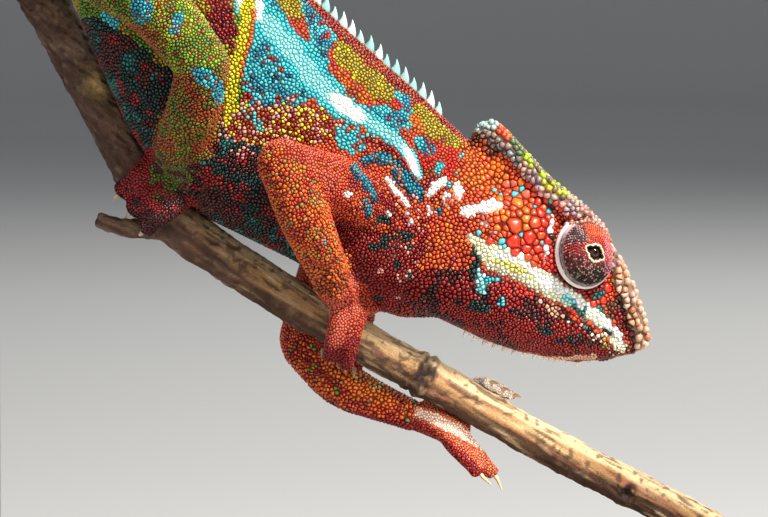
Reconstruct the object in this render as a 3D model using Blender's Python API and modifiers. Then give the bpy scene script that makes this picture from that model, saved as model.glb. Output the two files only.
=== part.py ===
"""Panther chameleon, adult male, life size: a still museum model of it climbing head first down
a bent branch, with the branch held over a flat display base by two rods.

The flesh is modelled whole: lofts, tubes and balls are fused with a voxel remesh, thinned, given its
crest of spines, and parted by thin cuts into head, jaw, neck, trunk, limbs, hands, feet and tail.
Frame: +X is the way the animal heads, +Y its left side, +Z up, origin under the middle of the base.
Lengths in this file are millimetres, and MM turns them into Blender's metres.
"""

import math

import bmesh
import bpy
import numpy as np
from mathutils import Matrix, Vector
from mathutils.bvhtree import BVHTree

MM = 0.001
GAP = 0.3  # clearance between pieces that meet

# ---------------------------------------------------------------- driving dimensions
BASE_SIZE = (184.0, 86.0, 9.0)
BASE_ROUNDING = 2.0
ROD_RADIUS = 2.4
ROD_PLACES = (-70.5, 70.0)  # where along X the two rods stand
ROD_SOCKET_DEPTH = 5.0

# The branch's middle line, from its upper sawn end to its lower one: x, y, z, radius.
BRANCH = (
    (-93.0, 10.6, 198.0, 4.7),
    (-74.0, 9.5, 168.0, 4.7),
    (-56.4, 7.0, 139.7, 4.7),
    (-42.4, 3.0, 113.7, 4.6),
    (-33.8, 1.0, 100.7, 4.8),
    (-18.8, 0.0, 89.9, 4.5),
    (-1.2, 0.0, 78.9, 4.3),
    (15.6, 0.0, 69.5, 4.2),
    (41.2, 0.0, 55.0, 3.95),
    (57.2, 0.0, 46.7, 3.9),
    (88.0, 0.0, 30.9, 3.8),
)
TWIG = (
    (-31.5, 0.0, 98.4, 2.7), (-37.0, -1.4, 97.9, 2.1), (-42.5, -2.5, 98.4, 1.9), (-47.5, -3.2, 100.2, 1.7),
)

# Trunk sections, rump to nape: dorsal x, z; ventral x, z; half width; how far the middle lies to one side.
TRUNK = (
    (-62.0, 167.0, -61.0, 151.0, 6.2, -4.6),
    (-51.0, 171.0, -55.0, 150.0, 8.6, -3.4),
    (-40.0, 168.0, -50.6, 140.5, 10.2, -2.4),
    (-29.0, 162.5, -45.4, 127.6, 11.6, -1.6),
    (-19.0, 155.5, -38.8, 114.4, 12.6, -1.0),
    (-10.0, 148.2, -28.8, 102.6, 13.2, -0.4),
    (-1.8, 141.5, -18.8, 96.8, 13.2, 0.0),
    (10.0, 130.6, -6.6, 90.8, 12.6, 0.0),
    (18.0, 123.6, 4.0, 84.0, 11.8, 0.0),
    (24.2, 117.8, 12.0, 80.6, 10.8, 0.0),
    (31.0, 112.0, 21.2, 80.4, 9.8, 0.0),
)

# The head has its own axes: s runs forward along the closed mouth, t is square to it, up through the skull.
MOUTH_TIP = Vector((58.4, 0.0, 73.9))
MOUTH_PITCH = math.radians(32.0)
HEAD_S = Vector((math.cos(MOUTH_PITCH), 0.0, -math.sin(MOUTH_PITCH)))
HEAD_T = Vector((math.sin(MOUTH_PITCH), 0.0, math.cos(MOUTH_PITCH)))
# Head sections, throat to snout: s, top t, bottom t, half width.
SKULL = (
    (-48.0, 10.0, -18.6, 11.0),
    (-43.0, 13.5, -17.2, 12.2),
    (-38.0, 16.0, -15.4, 13.0),
    (-32.0, 18.0, -14.2, 13.2),
    (-26.0, 18.6, -13.6, 12.2),
    (-20.0, 17.8, -12.4, 10.8),
    (-14.0, 15.0, -10.4, 9.4),
    (-9.0, 11.8, -8.4, 8.0),
    (-4.5, 8.6, -5.6, 6.2),
    (-1.0, 6.0, -2.6, 4.6),
    (1.8, 3.8, 0.2, 3.0),
)
# The casque is a tall roof over the back of the skull.
CASQUE = (
    (-22.0, 19.6, 11.0, 8.4),
    (-28.0, 20.0, 9.0, 8.4),
    (-34.0, 21.4, 8.0, 7.4),
    (-40.0, 23.2, 9.0, 5.8),
    (-45.5, 24.4, 12.5, 3.8),
    (-49.0, 22.4, 16.0, 2.0),
)
# Knobbly ridges over each eye down to the snout, and from the eye up to the casque's tip:
# s, t, half span, radius.
SNOUT_RIDGE = (
    (-25.5, 17.9, 9.0, 1.5),
    (-21.0, 17.9, 8.4, 1.6),
    (-15.5, 15.1, 7.0, 1.6),
    (-9.0, 11.5, 5.8, 1.6),
    (-3.0, 7.0, 4.4, 1.5),
    (2.0, 2.4, 2.4, 1.4),
)
CASQUE_RIDGE = (
    (-25.0, 18.4, 9.2, 1.4),
    (-32.0, 19.2, 8.0, 1.4),
    (-40.0, 21.6, 5.6, 1.4),
    (-48.0, 23.2, 1.8, 1.4),
)
EYE_MIDDLE = (-18.5, 12.1, 8.6)  # s, t, half span between the two globes
TURRET_RADII = (6.0, 7.0, 7.6)  # across, up, and out along the gaze
PUPIL_RADIUS = 1.9
GAZE_FORWARD = math.radians(17.0)
GAZE_RISE = 0.07

# Limbs, root to wrist or ankle: x, y, z, radius.
RIGHT_ARM = ((4.4, -9.4, 104.8, 6.5), (-3.0, -16.0, 109.4, 5.4), (-10.2, -21.5, 112.6, 4.9))
RIGHT_FOREARM = (
    (-10.2, -21.5, 112.6, 4.9),
    (-6.4, -20.0, 103.0, 5.1),
    (-3.0, -14.6, 94.4, 4.5),
    (-0.2, -8.2, 87.0, 3.8),
)
LEFT_ARM = ((3.4, 9.4, 101.0, 6.4), (-3.0, 14.8, 88.0, 4.9), (-7.6, 13.6, 74.4, 4.2))
LEFT_FOREARM = (
    (-7.4, 13.6, 73.6, 4.5), (0.8, 9.8, 65.8, 4.7), (10.6, 5.8, 61.6, 3.6), (17.2, 3.4, 59.4, 3.0),
)
RIGHT_THIGH = ((-52.0, -10.6, 153.4, 7.0), (-36.4, -17.5, 144.4, 6.5), (-25.4, -22.5, 131.8, 5.2))
RIGHT_SHANK = ((-25.4, -22.5, 131.6, 5.3), (-27.8, -16.5, 122.5, 5.2), (-30.8, -8.0, 114.4, 5.0))
LEFT_THIGH = ((-53.0, 5.6, 154.0, 6.8), (-48.0, 15.5, 160.0, 6.6), (-42.0, 26.5, 167.5, 5.2))
LEFT_SHANK = ((-42.0, 26.5, 167.5, 5.2), (-55.0, 21.0, 176.0, 4.9), (-67.0, 13.6, 183.0, 4.4))

LIMBS = {
    "right_hand": (RIGHT_ARM, RIGHT_FOREARM),
    "left_hand": (LEFT_ARM, LEFT_FOREARM),
    "right_foot": (RIGHT_THIGH, RIGHT_SHANK),
    "left_foot": (LEFT_THIGH, LEFT_SHANK),
}
GRIP_PLACES = {"right_hand": -0.4, "right_foot": -37.8, "left_foot": -79.0}  # X where each holds the branch

# The tail leaves the rump, passes in front of the branch and coils under itself.
TAIL_LEAD = ((-50.0, -3.2, 161.0, 7.6), (-62.0, -5.4, 156.4, 7.2), (-76.0, -8.6, 149.0, 6.2))
COIL_MIDDLE = Vector((-86.0, -10.0, 118.4))
COIL_START_RADIUS = 23.6
COIL_END_RADIUS = 3.6
COIL_TURNS = 1.75
COIL_START_ANGLE = math.radians(112.0)
COIL_TAIL_RADIUS = (5.4, 0.75)
TAIL_LENGTHS = 6  # nodes that the coil is divided into

# Skin surface and budget.
VOXEL = 0.6
FLAT_ANGLE = math.radians(5.0)
SHELL_SWELL = 1.1  # how far outside a limb its parting shell runs
SHELL_TRIANGLES = 300
FLESH_TRIANGLES = 3100

# Spines.
SPINE_PITCH = 2.35
SPINE_HEIGHT = 3.3
SPINE_HALF_WIDTH = 0.8
THROAT_SPINES = 14

CLAW_LENGTH = 2.3
CLAW_RADIUS = 0.62


# ---------------------------------------------------------------- general helpers
def clear_scene():
    for thing in list(bpy.data.objects):
        bpy.data.objects.remove(thing, do_unlink=True)


def new_collection(name):
    group = bpy.data.collections.new(name)
    bpy.context.scene.collection.children.link(group)
    return group


def material(name, colour, roughness, metallic=0.0):
    made = bpy.data.materials.new(name)
    made.use_nodes = True
    shader = made.node_tree.nodes["Principled BSDF"]
    shader.inputs["Base Color"].default_value = (*colour, 1.0)
    shader.inputs["Roughness"].default_value = roughness
    shader.inputs["Metallic"].default_value = metallic
    return made


def add_object(name, mesh, group, surface=None):
    made = bpy.data.objects.new(name, mesh)
    group.objects.link(made)
    if surface:
        mesh.materials.clear()
        mesh.materials.append(surface)
    return made


def mesh_of(bm, name):
    mesh = bpy.data.meshes.new(name)
    bm.to_mesh(mesh)
    bm.free()
    return mesh


def smooth_rows(rows, steps):
    """Rows of numbers read from a Catmull-Rom curve through the given ones, steps to each span."""
    rows = np.asarray(rows, float)
    padded = np.vstack([2 * rows[0] - rows[1], rows, 2 * rows[-1] - rows[-2]])
    made = []
    for i in range(len(rows) - 1):
        a, b, c, d = padded[i : i + 4]
        for t in np.arange(steps) / steps:
            made.append(
                0.5 * (
                    2 * b + (c - a) * t + (2 * a - 5 * b + 4 * c - d) * t**2 + (3 * b - a - 3 * c + d) * t**3
                )
            )
    return np.array(made + [rows[-1]])


def closed_loft(name, rings, group):
    """A closed mesh through rings of equal point counts, capped at both ends."""
    bm = bmesh.new()
    loops = [[bm.verts.new(Vector(p) * MM) for p in ring] for ring in rings]
    count = len(loops[0])
    for near, far in zip(loops, loops[1:]):
        for i in range(count):
            j = (i + 1) % count
            bm.faces.new((near[i], near[j], far[j], far[i]))
    bm.faces.new(loops[0][::-1])
    bm.faces.new(loops[-1])
    bmesh.ops.recalc_face_normals(bm, faces=bm.faces)
    return add_object(name, mesh_of(bm, name), group)


def section(middle, up, side, above, below, half_width, sides, pinch=1.0, box=1.0):
    """Ring round a middle point. pinch over 1 sharpens its top and bottom; box under 1 squares it."""
    ring = []
    for angle in np.arange(sides) * 2 * math.pi / sides:
        c, s = math.cos(angle), math.sin(angle)
        height = above if c > 0 else below
        ring.append(
            middle
            + up * height * math.copysign(abs(c) ** box, c)
            + side * half_width * math.copysign(abs(s) ** (pinch * box), s)
        )
    return ring


def tube(name, rows, group, steps=4, sides_step=3):
    """A closed round tube with rounded taper: rows are x, y, z, radius in millimetres."""
    rows = smooth_rows(rows, steps)
    data = bpy.data.curves.new(name, "CURVE")
    data.dimensions = "3D"
    data.bevel_depth = MM
    data.bevel_resolution = sides_step
    data.use_fill_caps = True
    spline = data.splines.new("POLY")
    spline.points.add(len(rows) - 1)
    for point, (x, y, z, radius) in zip(spline.points, rows):
        point.co = (x * MM, y * MM, z * MM, 1.0)
        point.radius = radius
    curve = bpy.data.objects.new(name + ".line", data)
    group.objects.link(curve)
    bpy.context.view_layer.update()
    shape = bpy.data.meshes.new_from_object(curve.evaluated_get(bpy.context.evaluated_depsgraph_get()))
    bpy.data.objects.remove(curve)
    bm = bmesh.new()
    bm.from_mesh(shape)
    bmesh.ops.remove_doubles(bm, verts=bm.verts, dist=1e-6)
    bmesh.ops.recalc_face_normals(bm, faces=bm.faces)
    return add_object(name, mesh_of(bm, name), group)


def ball(name, middle, radii, group, turn=None, segments=24):
    """An ellipsoid; turn is a rotation matrix for its own axes."""
    bm = bmesh.new()
    bmesh.ops.create_uvsphere(bm, u_segments=segments, v_segments=segments // 2, radius=1.0)
    shape = Matrix.Diagonal((*(r * MM for r in radii), 1.0))
    place = Matrix.Translation(Vector(middle) * MM) @ (turn.to_4x4() if turn else Matrix.Identity(4))
    bm.transform(place @ shape)
    return add_object(name, mesh_of(bm, name), group)


def disc(name, middle, normal, radius, group, thickness=GAP):
    """A thin round slab, used as a cutter between two pieces."""
    bm = bmesh.new()
    bmesh.ops.create_cone(
        bm, cap_ends=True, segments=20, radius1=radius * MM, radius2=radius * MM, depth=thickness * MM
    )
    turn = Vector(normal).to_track_quat("Z", "Y").to_matrix().to_4x4()
    bm.transform(Matrix.Translation(Vector(middle) * MM) @ turn)
    return add_object(name, mesh_of(bm, name), group)


def evaluated_mesh(thing):
    bpy.context.view_layer.update()
    return bpy.data.meshes.new_from_object(thing.evaluated_get(bpy.context.evaluated_depsgraph_get()))


def bake_modifiers(thing):
    thing.data = evaluated_mesh(thing)
    thing.modifiers.clear()


def boolean(thing, operation, other):
    """Applies an exact Boolean of one object, or of a whole collection, to a mesh object."""
    step = thing.modifiers.new(operation.lower(), "BOOLEAN")
    step.operation = operation
    step.solver = "EXACT"
    if isinstance(other, bpy.types.Collection):
        step.operand_type = "COLLECTION"
        step.collection = other
    else:
        step.object = other
    bake_modifiers(thing)


def joined(name, things, group):
    """One object holding copies of the meshes of several, which are removed."""
    bm = bmesh.new()
    for thing in things:
        bm.from_mesh(thing.data)
        bpy.data.objects.remove(thing)
    return add_object(name, mesh_of(bm, name), group)


# ---------------------------------------------------------------- perch geometry
def perch_at(x):
    """Middle, direction of descent and radius of the branch where it passes this x."""
    rows = smooth_rows(BRANCH, 6)
    i = int(np.clip(np.searchsorted(rows[:, 0], x) - 1, 0, len(rows) - 2))
    share = (x - rows[i, 0]) / (rows[i + 1, 0] - rows[i, 0])
    here = rows[i] + (rows[i + 1] - rows[i]) * share
    run = Vector((rows[i + 1] - rows[i])[:3]).normalized()
    return Vector(here[:3]), run, float(here[3])


def toe_round_perch(x, side, share_across, lead, toe_radius, wrap, under=False):
    """Rows of one toe laid round the branch at x. side is +1 or -1 along Y, share_across its place
    along the branch in the foot, lead how far it drifts downhill, wrap its first and last angle."""
    middle, run, radius = perch_at(x)
    lateral = Vector((0.0, float(side), 0.0))
    up = -perch_up(run) if under else perch_up(run)
    rows = []
    for share in np.linspace(0.0, 1.0, 6):
        angle = math.radians(wrap[0] + (wrap[1] - wrap[0]) * share)
        thickness = toe_radius * (1.0 - 0.22 * share)
        reach = radius + GAP + thickness * 0.92
        point = middle + run * (share_across + lead * share)
        point += (up * math.cos(angle) + lateral * math.sin(angle)) * reach
        rows.append((*point, thickness))
    return rows


def gripping_foot(x, root, near_toes, far_toes, toe_radius, lead, wrap=(14.0, 148.0), far_end=None):
    """Tubes, balls and toes of a hand or foot that holds the branch from above."""
    middle, run, radius = perch_at(x)
    up = perch_up(run)
    crown = middle + up * (radius + toe_radius + 1.0)
    tubes = [(root, (*crown, toe_radius * 1.95))]
    pitch = toe_radius * 1.72
    toes = []
    for side, count in ((-1, near_toes), (1, far_toes)):
        for k in range(count):
            across = (k - (count - 1) / 2) * pitch
            reach = (wrap[0], far_end) if far_end and side > 0 else wrap
            toes.append(toe_round_perch(x, side, across, lead, toe_radius, reach))
    half_length = max(near_toes, far_toes) * toe_radius * 0.86 + 0.6
    frame = Matrix((run, Vector((0, 1, 0)), up)).transposed()
    pads = [(crown - up * 0.8, (half_length, radius * 0.95, toe_radius * 1.15), frame)]
    return tubes, pads, toes


def perch_up(run):
    up = run.cross(Vector((0.0, 1.0, 0.0))).normalized()
    return up if up.z > 0 else -up


# ---------------------------------------------------------------- flesh
def head_point(s, t, y=0.0):
    return MOUTH_TIP + HEAD_S * s + HEAD_T * t + Vector((0.0, y, 0.0))


def trunk_flesh(group):
    rings = []
    for dx, dz, vx, vz, half_width, y in smooth_rows(TRUNK, 3):
        dorsal, ventral = Vector((dx, y, dz)), Vector((vx, y, vz))
        up = (dorsal - ventral).normalized()
        depth = (dorsal - ventral).length
        middle = ventral + up * depth * 0.44
        rings.append(
            section(
                middle, up, Vector((0, 1, 0)), depth * 0.56, depth * 0.44, half_width, 28, pinch=1.22, box=0.9
            )
        )
    return closed_loft("trunk.flesh", rings, group)


def head_loft(name, rows, group, steps, waist, pinch, box):
    rings = []
    for s, top, bottom, half_width in smooth_rows(rows, steps):
        middle = head_point(s, bottom + (top - bottom) * waist)
        above, below = (top - bottom) * (1 - waist), (top - bottom) * waist
        rings.append(section(middle, HEAD_T, Vector((0, 1, 0)), above, below, half_width, 28, pinch, box))
    return closed_loft(name, rings, group)


def head_flesh(group):
    pieces = [
        head_loft("skull", SKULL, group, 3, waist=0.5, pinch=1.1, box=0.82),
        head_loft("casque", CASQUE, group, 3, waist=0.6, pinch=0.95, box=0.7),
    ]
    for side in (-1, 1):
        for name, rows in (("snout_ridge", SNOUT_RIDGE), ("casque_ridge", CASQUE_RIDGE)):
            places = [(*head_point(s, t, side * span), radius) for s, t, span, radius in rows]
            pieces.append(tube(f"{name}{side}", places, group))
    return pieces


def tail_rows():
    """Rows of the whole tail, and the angle along the coil of each row, or -1 before the coil."""
    lead = [tuple(row) for row in TAIL_LEAD]
    coil = []
    steps = 26
    for share in np.linspace(0.0, 1.0, steps):
        angle = COIL_START_ANGLE + share * COIL_TURNS * 2 * math.pi
        reach = COIL_START_RADIUS + (COIL_END_RADIUS - COIL_START_RADIUS) * share
        thick = COIL_TAIL_RADIUS[0] + (COIL_TAIL_RADIUS[1] - COIL_TAIL_RADIUS[0]) * share**0.85
        x = COIL_MIDDLE.x + reach * math.cos(angle)
        z = COIL_MIDDLE.z + reach * math.sin(angle)
        coil.append((x, COIL_MIDDLE.y - 0.6 * share, z, thick))
    return lead, coil


def limb_shapes():
    """Each limb as (tubes, balls, toes): rows of its tubes, then balls as middle, radii, turn."""
    limbs = {
        "right_hand": gripping_foot(GRIP_PLACES["right_hand"], RIGHT_FOREARM[-1], 2, 3, 2.15, 4.2),
        "right_foot": gripping_foot(
            GRIP_PLACES["right_foot"], RIGHT_SHANK[-1], 3, 2, 2.6, 1.8, (12.0, 126.0), 108.0
        ),
        "left_foot": gripping_foot(GRIP_PLACES["left_foot"], LEFT_SHANK[-1], 2, 3, 2.05, 2.0),
        "left_hand": open_hand(),
    }
    for name, lengths in LIMBS.items():
        for rows in lengths:
            limbs[name][0].append(rows)
            limbs[name][1].append((Vector(rows[-1][:3]), (rows[-1][3] * 0.98,) * 3, None))
        root = lengths[0][0]
        limbs[name][1].append((Vector(root[:3]), (root[3],) * 3, None))
    return limbs


def open_hand():
    """The left hand holds from below: three inner toes reach over the branch, two outer ones hang open."""
    palm = Vector((21.4, 1.6, 58.4))
    tubes = [(LEFT_FOREARM[-1], (*palm, 3.5))]
    pads = [(palm + Vector((1.6, 0.6, -0.2)), (4.4, 3.6, 2.8), None)]
    toes = []
    for k in range(3):
        toes.append(toe_round_perch(21.6, 1, -1.2 + 2.7 * k, 8.8, 1.5, (24.0, 163.0), under=True))
    for k, tip in enumerate(((28.7, -2.6, 49.2), (31.6, -0.6, 48.6))):
        knuckle = Vector((24.3 + 1.6 * k, -1.6 + 1.9 * k, 54.2 + 0.7 * k))
        toes.append(((*(palm + Vector((0.4, -0.8, -0.8))), 2.5), (*knuckle, 2.15), (*tip, 1.55)))
    return tubes, pads, toes


def limb_flesh(limb, name, swell, group):
    """Tubes and balls of one limb, all swollen by the same amount."""
    tubes, balls, toes = limb
    pieces = []
    for n, rows in enumerate(list(tubes) + list(toes)):
        thick = [(x, y, z, radius + swell) for x, y, z, radius in rows]
        if swell:
            thick = lengthened(thick, swell)
        pieces.append(tube(f"{name}.tube{n}", thick, group, steps=3))
    for n, (middle, radii, turn) in enumerate(balls):
        pieces.append(ball(f"{name}.ball{n}", middle, [r + swell for r in radii], group, turn, 16))
    return pieces


def lengthened(rows, extra):
    """The same rows with the last one pushed on by this much."""
    end, before = Vector(rows[-1][:3]), Vector(rows[-2][:3])
    end += (end - before).normalized() * extra
    return list(rows[:-1]) + [(*end, rows[-1][3])]


def fused_flesh(pieces, group):
    """All the flesh as one closed skin: remeshed, eased and thinned to its share of triangles."""
    body = joined("whole_body", pieces, group)
    step = body.modifiers.new("fuse", "REMESH")
    step.mode = "VOXEL"
    step.voxel_size = VOXEL * MM
    ease = body.modifiers.new("ease", "SMOOTH")
    ease.factor = 0.5
    ease.iterations = 3
    bake_modifiers(body)
    drop_scraps(body)
    thin = body.modifiers.new("thin", "DECIMATE")
    thin.use_collapse_triangulate = True
    thin.ratio = FLESH_TRIANGLES / (2 * len(body.data.polygons))
    bake_modifiers(body)
    return body


def islands_of(bm):
    """Connected groups of faces, largest first."""
    unseen, groups = set(bm.faces), []
    while unseen:
        stack, found = [unseen.pop()], []
        while stack:
            face = stack.pop()
            found.append(face)
            for edge in face.edges:
                for other in edge.link_faces:
                    if other in unseen:
                        unseen.remove(other)
                        stack.append(other)
        groups.append(found)
    return sorted(groups, key=len, reverse=True)


def drop_scraps(thing):
    """Keeps only the largest connected part of a mesh."""
    bm = bmesh.new()
    bm.from_mesh(thing.data)
    for faces in islands_of(bm)[1:]:
        bmesh.ops.delete(bm, geom=faces, context="FACES")
    bm.to_mesh(thing.data)
    bm.free()


# ---------------------------------------------------------------- crest
def crest_line():
    """Foot and outward direction of each crest spine, nape to tail, with its share of full height."""
    sections = smooth_rows(TRUNK, 8)[::-1]
    line = [
        (Vector((r[0], r[5], r[1])), Vector((r[0] - r[2], 0.0, r[1] - r[3])).normalized()) for r in sections
    ]
    lead, coil = tail_rows()
    tail = smooth_rows(lead[1:] + coil[:6], 5)
    for here, after in zip(tail, tail[1:]):
        run = Vector((after - here)[:3]).normalized()
        out = Vector((0, 1, 0)).cross(run).normalized()
        line.append((Vector(here[:3]) + out * here[3], out))
    places, walked, wanted = [], 0.0, 0.0
    total = sum((b[0] - a[0]).length for a, b in zip(line, line[1:]))
    start = 14.0  # the nape under the casque is bare
    for (a, out), (b, _) in zip(line, line[1:]):
        step = (b - a).length
        while wanted <= walked + step:
            share = max(0.0, (wanted - walked) / max(step, 1e-6))
            if wanted > start:
                along = wanted / total
                places.append((a.lerp(b, share), out, (b - a).normalized(), along))
            wanted += SPINE_PITCH
        walked += step
    return places


def crest_places():
    """Foot, outward direction, heading and size of every spine of the back, then of the throat."""
    back = []
    for n, (foot, out, run, along) in enumerate(crest_line()):
        fade = min(1.0, 1.25 - along * 1.02) * (1.0 if n % 3 else 0.8)
        back.append((foot, out, run, max(0.28, fade)))
    throat = []
    for n in range(THROAT_SPINES):
        share = n / (THROAT_SPINES - 1)
        foot = head_point(-29.0 + 26.0 * share, -15.0 + 12.5 * share**1.4)
        throat.append((foot, -HEAD_T, HEAD_S, 0.5 - 0.24 * share))
    return back, throat


def crest(name, places, tree, group):
    """A row of four-sided spines that share one sunken root along the skin."""
    feet = []
    for foot, out, run, size in places:
        hit = tree.ray_cast((foot + out * 8.0) * MM, -out)[0]
        if hit:
            feet.append((hit / MM, out, run, size))
    bm = bmesh.new()
    rails = []
    for n in range(len(feet) + 1):
        before, after = feet[max(n - 1, 0)], feet[min(n, len(feet) - 1)]
        middle, size = (before[0] + after[0]) / 2, (before[3] + after[3]) / 2
        if n in (0, len(feet)):
            middle += after[2] * SPINE_PITCH * (0.5 if n else -0.5)
        out, run = after[1], after[2]
        side = run.cross(out).normalized() * SPINE_HALF_WIDTH * (0.4 + 0.6 * size)
        corners = (side - out * 0.35, -side - out * 0.35, -side * 0.8 - out * 1.5, side * 0.8 - out * 1.5)
        rails.append([bm.verts.new((middle + corner) * MM) for corner in corners])
    for (hit, out, run, size), near, far in zip(feet, rails, rails[1:]):
        tip = bm.verts.new((hit + (out - run * 0.12) * SPINE_HEIGHT * size) * MM)
        for a, b in ((near[0], far[0]), (far[1], near[1]), (near[1], near[0]), (far[0], far[1])):
            bm.faces.new((a, b, tip))
        for i, j in ((1, 2), (2, 3), (3, 0)):
            bm.faces.new((near[i], near[j], far[j], far[i]))
    bm.faces.new(rails[0])
    bm.faces.new(rails[-1][::-1])
    bmesh.ops.recalc_face_normals(bm, faces=bm.faces)
    return add_object(name, mesh_of(bm, name), group)


# ---------------------------------------------------------------- parting cuts
def along_rows(rows, share):
    """Point and direction at this share of a run of rows."""
    rows = smooth_rows(rows, 8)
    i = min(int(share * (len(rows) - 1)), len(rows) - 2)
    return Vector(rows[i][:3]), Vector((rows[i + 1] - rows[i])[:3]).normalized(), float(rows[i][3])


def parting_shells(limbs, tools, cuts):
    """A thin shell round each whole limb, which parts it from the trunk and from the tail."""
    made = []
    for name, limb in limbs.items():
        shell = joined("shell." + name, limb_flesh(limb, "claim." + name, SHELL_SWELL, tools), cuts)
        step = shell.modifiers.new("fuse", "REMESH")
        step.mode = "VOXEL"
        step.voxel_size = 0.9 * MM
        bake_modifiers(shell)
        drop_scraps(shell)
        thin = shell.modifiers.new("thin", "DECIMATE")
        thin.ratio = SHELL_TRIANGLES / (2 * len(shell.data.polygons))
        bake_modifiers(shell)
        wall = shell.modifiers.new("wall", "SOLIDIFY")
        wall.thickness = GAP * MM
        wall.offset = 1.0
        bake_modifiers(shell)
        made.append(shell)
    return made


def tail_cuts(group):
    """Slabs across the rump and between the lengths of the coil."""
    made = [disc("cut.rump", (-56.5, -3.8, 160.0), (0.97, -0.12, 0.2), 13.0, group)]
    coil = tail_rows()[1]
    for n in range(TAIL_LENGTHS):
        point, run, radius = along_rows(coil, n / TAIL_LENGTHS)
        made.append(disc(f"cut.tail{n}", point, run, radius + (4.4 if n < 2 else 1.5), group))
    return made


def slab(name, middle, run, across, length, group):
    """A thin oblong plate, square to run and across, wide enough for the whole head."""
    bm = bmesh.new()
    bmesh.ops.create_cube(bm, size=1.0)
    frame = Matrix((run, Vector((0, 1, 0)), across)).transposed().to_4x4()
    size = Matrix.Diagonal((length * MM, 40 * MM, GAP * MM, 1.0))
    bm.transform(Matrix.Translation(middle * MM) @ frame @ size)
    return add_object(name, mesh_of(bm, name), group)


def core_cuts(group):
    """Slabs that part head, jaw, neck and trunk."""
    corner = -33.0  # of the mouth, along s
    lean = (HEAD_S * 0.2 + HEAD_T).normalized()
    mouth = slab("cut.mouth", head_point(corner + 22.0, 0.0), HEAD_S, HEAD_T, 44.0, group)
    behind = lean.cross(Vector((0, 1, 0)))
    back = slab("cut.jaw", head_point(corner, 0.0) - lean * 11.9, lean, behind, 24.0, group)
    neck = disc("cut.neck", head_point(-46.5, 0.5), HEAD_S * 0.985 + HEAD_T * 0.17, 25.0, group)
    chest = disc("cut.chest", (10.5, 0.0, 104.0), (0.8, 0.0, -0.6), 28.0, group)
    return mouth, back, neck, chest


def joint_cuts(upper, lower, group):
    """Slabs through the bend between two lengths of a limb, and through the wrist or ankle after them."""
    joint = Vector(lower[0][:3])
    into = (joint - Vector(upper[-2][:3])).normalized()
    away = (Vector(lower[1][:3]) - joint).normalized()
    crook = (away - into).normalized()
    bend = disc("cut.bend", joint + crook * 8.0, into + away, 21.0, group)
    point, run, radius = along_rows(lower, 0.97)
    return bend, disc("cut.end", point, run, radius + 5.0, group)


def body_markers():
    """A point well inside the core, each whole limb and each length of tail."""
    markers = {"core": Vector((-12.0, 0.0, 122.0)), "tail_base": Vector(TAIL_LEAD[-1][:3])}
    for name, (upper, _) in LIMBS.items():
        markers[name] = Vector(upper[1][:3]).lerp(Vector(upper[2][:3]), 0.5)
    coil = tail_rows()[1]
    for n in range(TAIL_LENGTHS):
        markers[f"tail_coil_{n + 1}"] = along_rows(coil, (n + 0.5) / TAIL_LENGTHS)[0]
    return markers


def core_markers():
    return {
        "head": head_point(-30.0, 8.0),
        "lower_jaw": head_point(-20.0, -6.0),
        "neck": head_point(-52.0, 1.0),
        "trunk": Vector((-12.0, 0.0, 122.0)),
    }


def limb_markers(name):
    """A point well inside each length of one limb."""
    upper, lower = LIMBS[name]
    side, kind = name.split("_")
    names = ("upper_arm", "forearm") if kind == "hand" else ("thigh", "shank")
    markers = {
        f"{names[0]}_{side}": Vector(upper[1][:3]),
        f"{names[1]}_{side}": along_rows(lower, 0.6)[0],
    }
    if name == "left_hand":
        markers["hand_left"] = Vector((22.6, 1.8, 58.2))
    else:
        middle, run, radius = perch_at(GRIP_PLACES[name])
        markers[f"{kind}_{side}"] = middle + perch_up(run) * (radius + 2.6)
    return markers


def part_pieces(body, markers, group, surface):
    """One object for each loose part of a cut body, named by the marker that lies inside it."""
    bm = bmesh.new()
    bm.from_mesh(body.data)
    bpy.data.objects.remove(body)
    loose = []
    for faces in islands_of(bm):
        copy = bmesh.new()
        corner = {}
        for face in faces:
            for vert in face.verts:
                if vert not in corner:
                    corner[vert] = copy.verts.new(vert.co)
            copy.faces.new([corner[vert] for vert in face.verts])
        copy.normal_update()
        loose.append((copy, BVHTree.FromBMesh(copy)))
    bm.free()
    made = {}
    for name, point in markers.items():
        holders = [copy for copy, tree in loose if holds(tree, point * MM)]
        if not holders:
            raise ValueError(f"no piece holds the marker of {name}")
        mesh = bpy.data.meshes.new(name)
        holders[0].to_mesh(mesh)
        made[name] = add_object(name, mesh, group, surface)
    return made


def plain_faces(thing):
    """Merges the splinters that cuts leave on nearly flat ground, then makes every face a triangle."""
    bm = bmesh.new()
    bm.from_mesh(thing.data)
    bmesh.ops.dissolve_limit(bm, angle_limit=FLAT_ANGLE, verts=bm.verts, edges=bm.edges)
    bmesh.ops.triangulate(bm, faces=bm.faces, quad_method="BEAUTY", ngon_method="BEAUTY")
    bm.to_mesh(thing.data)
    bm.free()


def holds(tree, point):
    """Whether a point is inside a closed surface, by how often rays from it meet the surface."""
    votes = 0
    for ray in (Vector((0.1, -0.99, 0.07)), Vector((-0.3, 0.9, 0.31)), Vector((0.2, 0.31, -0.93))):
        ray.normalize()
        met, place = 0, tree.ray_cast(point, ray)[0]
        while place is not None:
            met += 1
            place = tree.ray_cast(place + ray * 1e-6, ray)[0]
        votes += met % 2
    return votes >= 2


# ---------------------------------------------------------------- eyes and claws
def eye_frame(side):
    middle = head_point(EYE_MIDDLE[0], EYE_MIDDLE[1], side * EYE_MIDDLE[2])
    gaze = Vector((math.sin(GAZE_FORWARD), side * math.cos(GAZE_FORWARD), GAZE_RISE)).normalized()
    turn = gaze.to_track_quat("Z", "Y").to_matrix()
    return middle, gaze, turn


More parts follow.
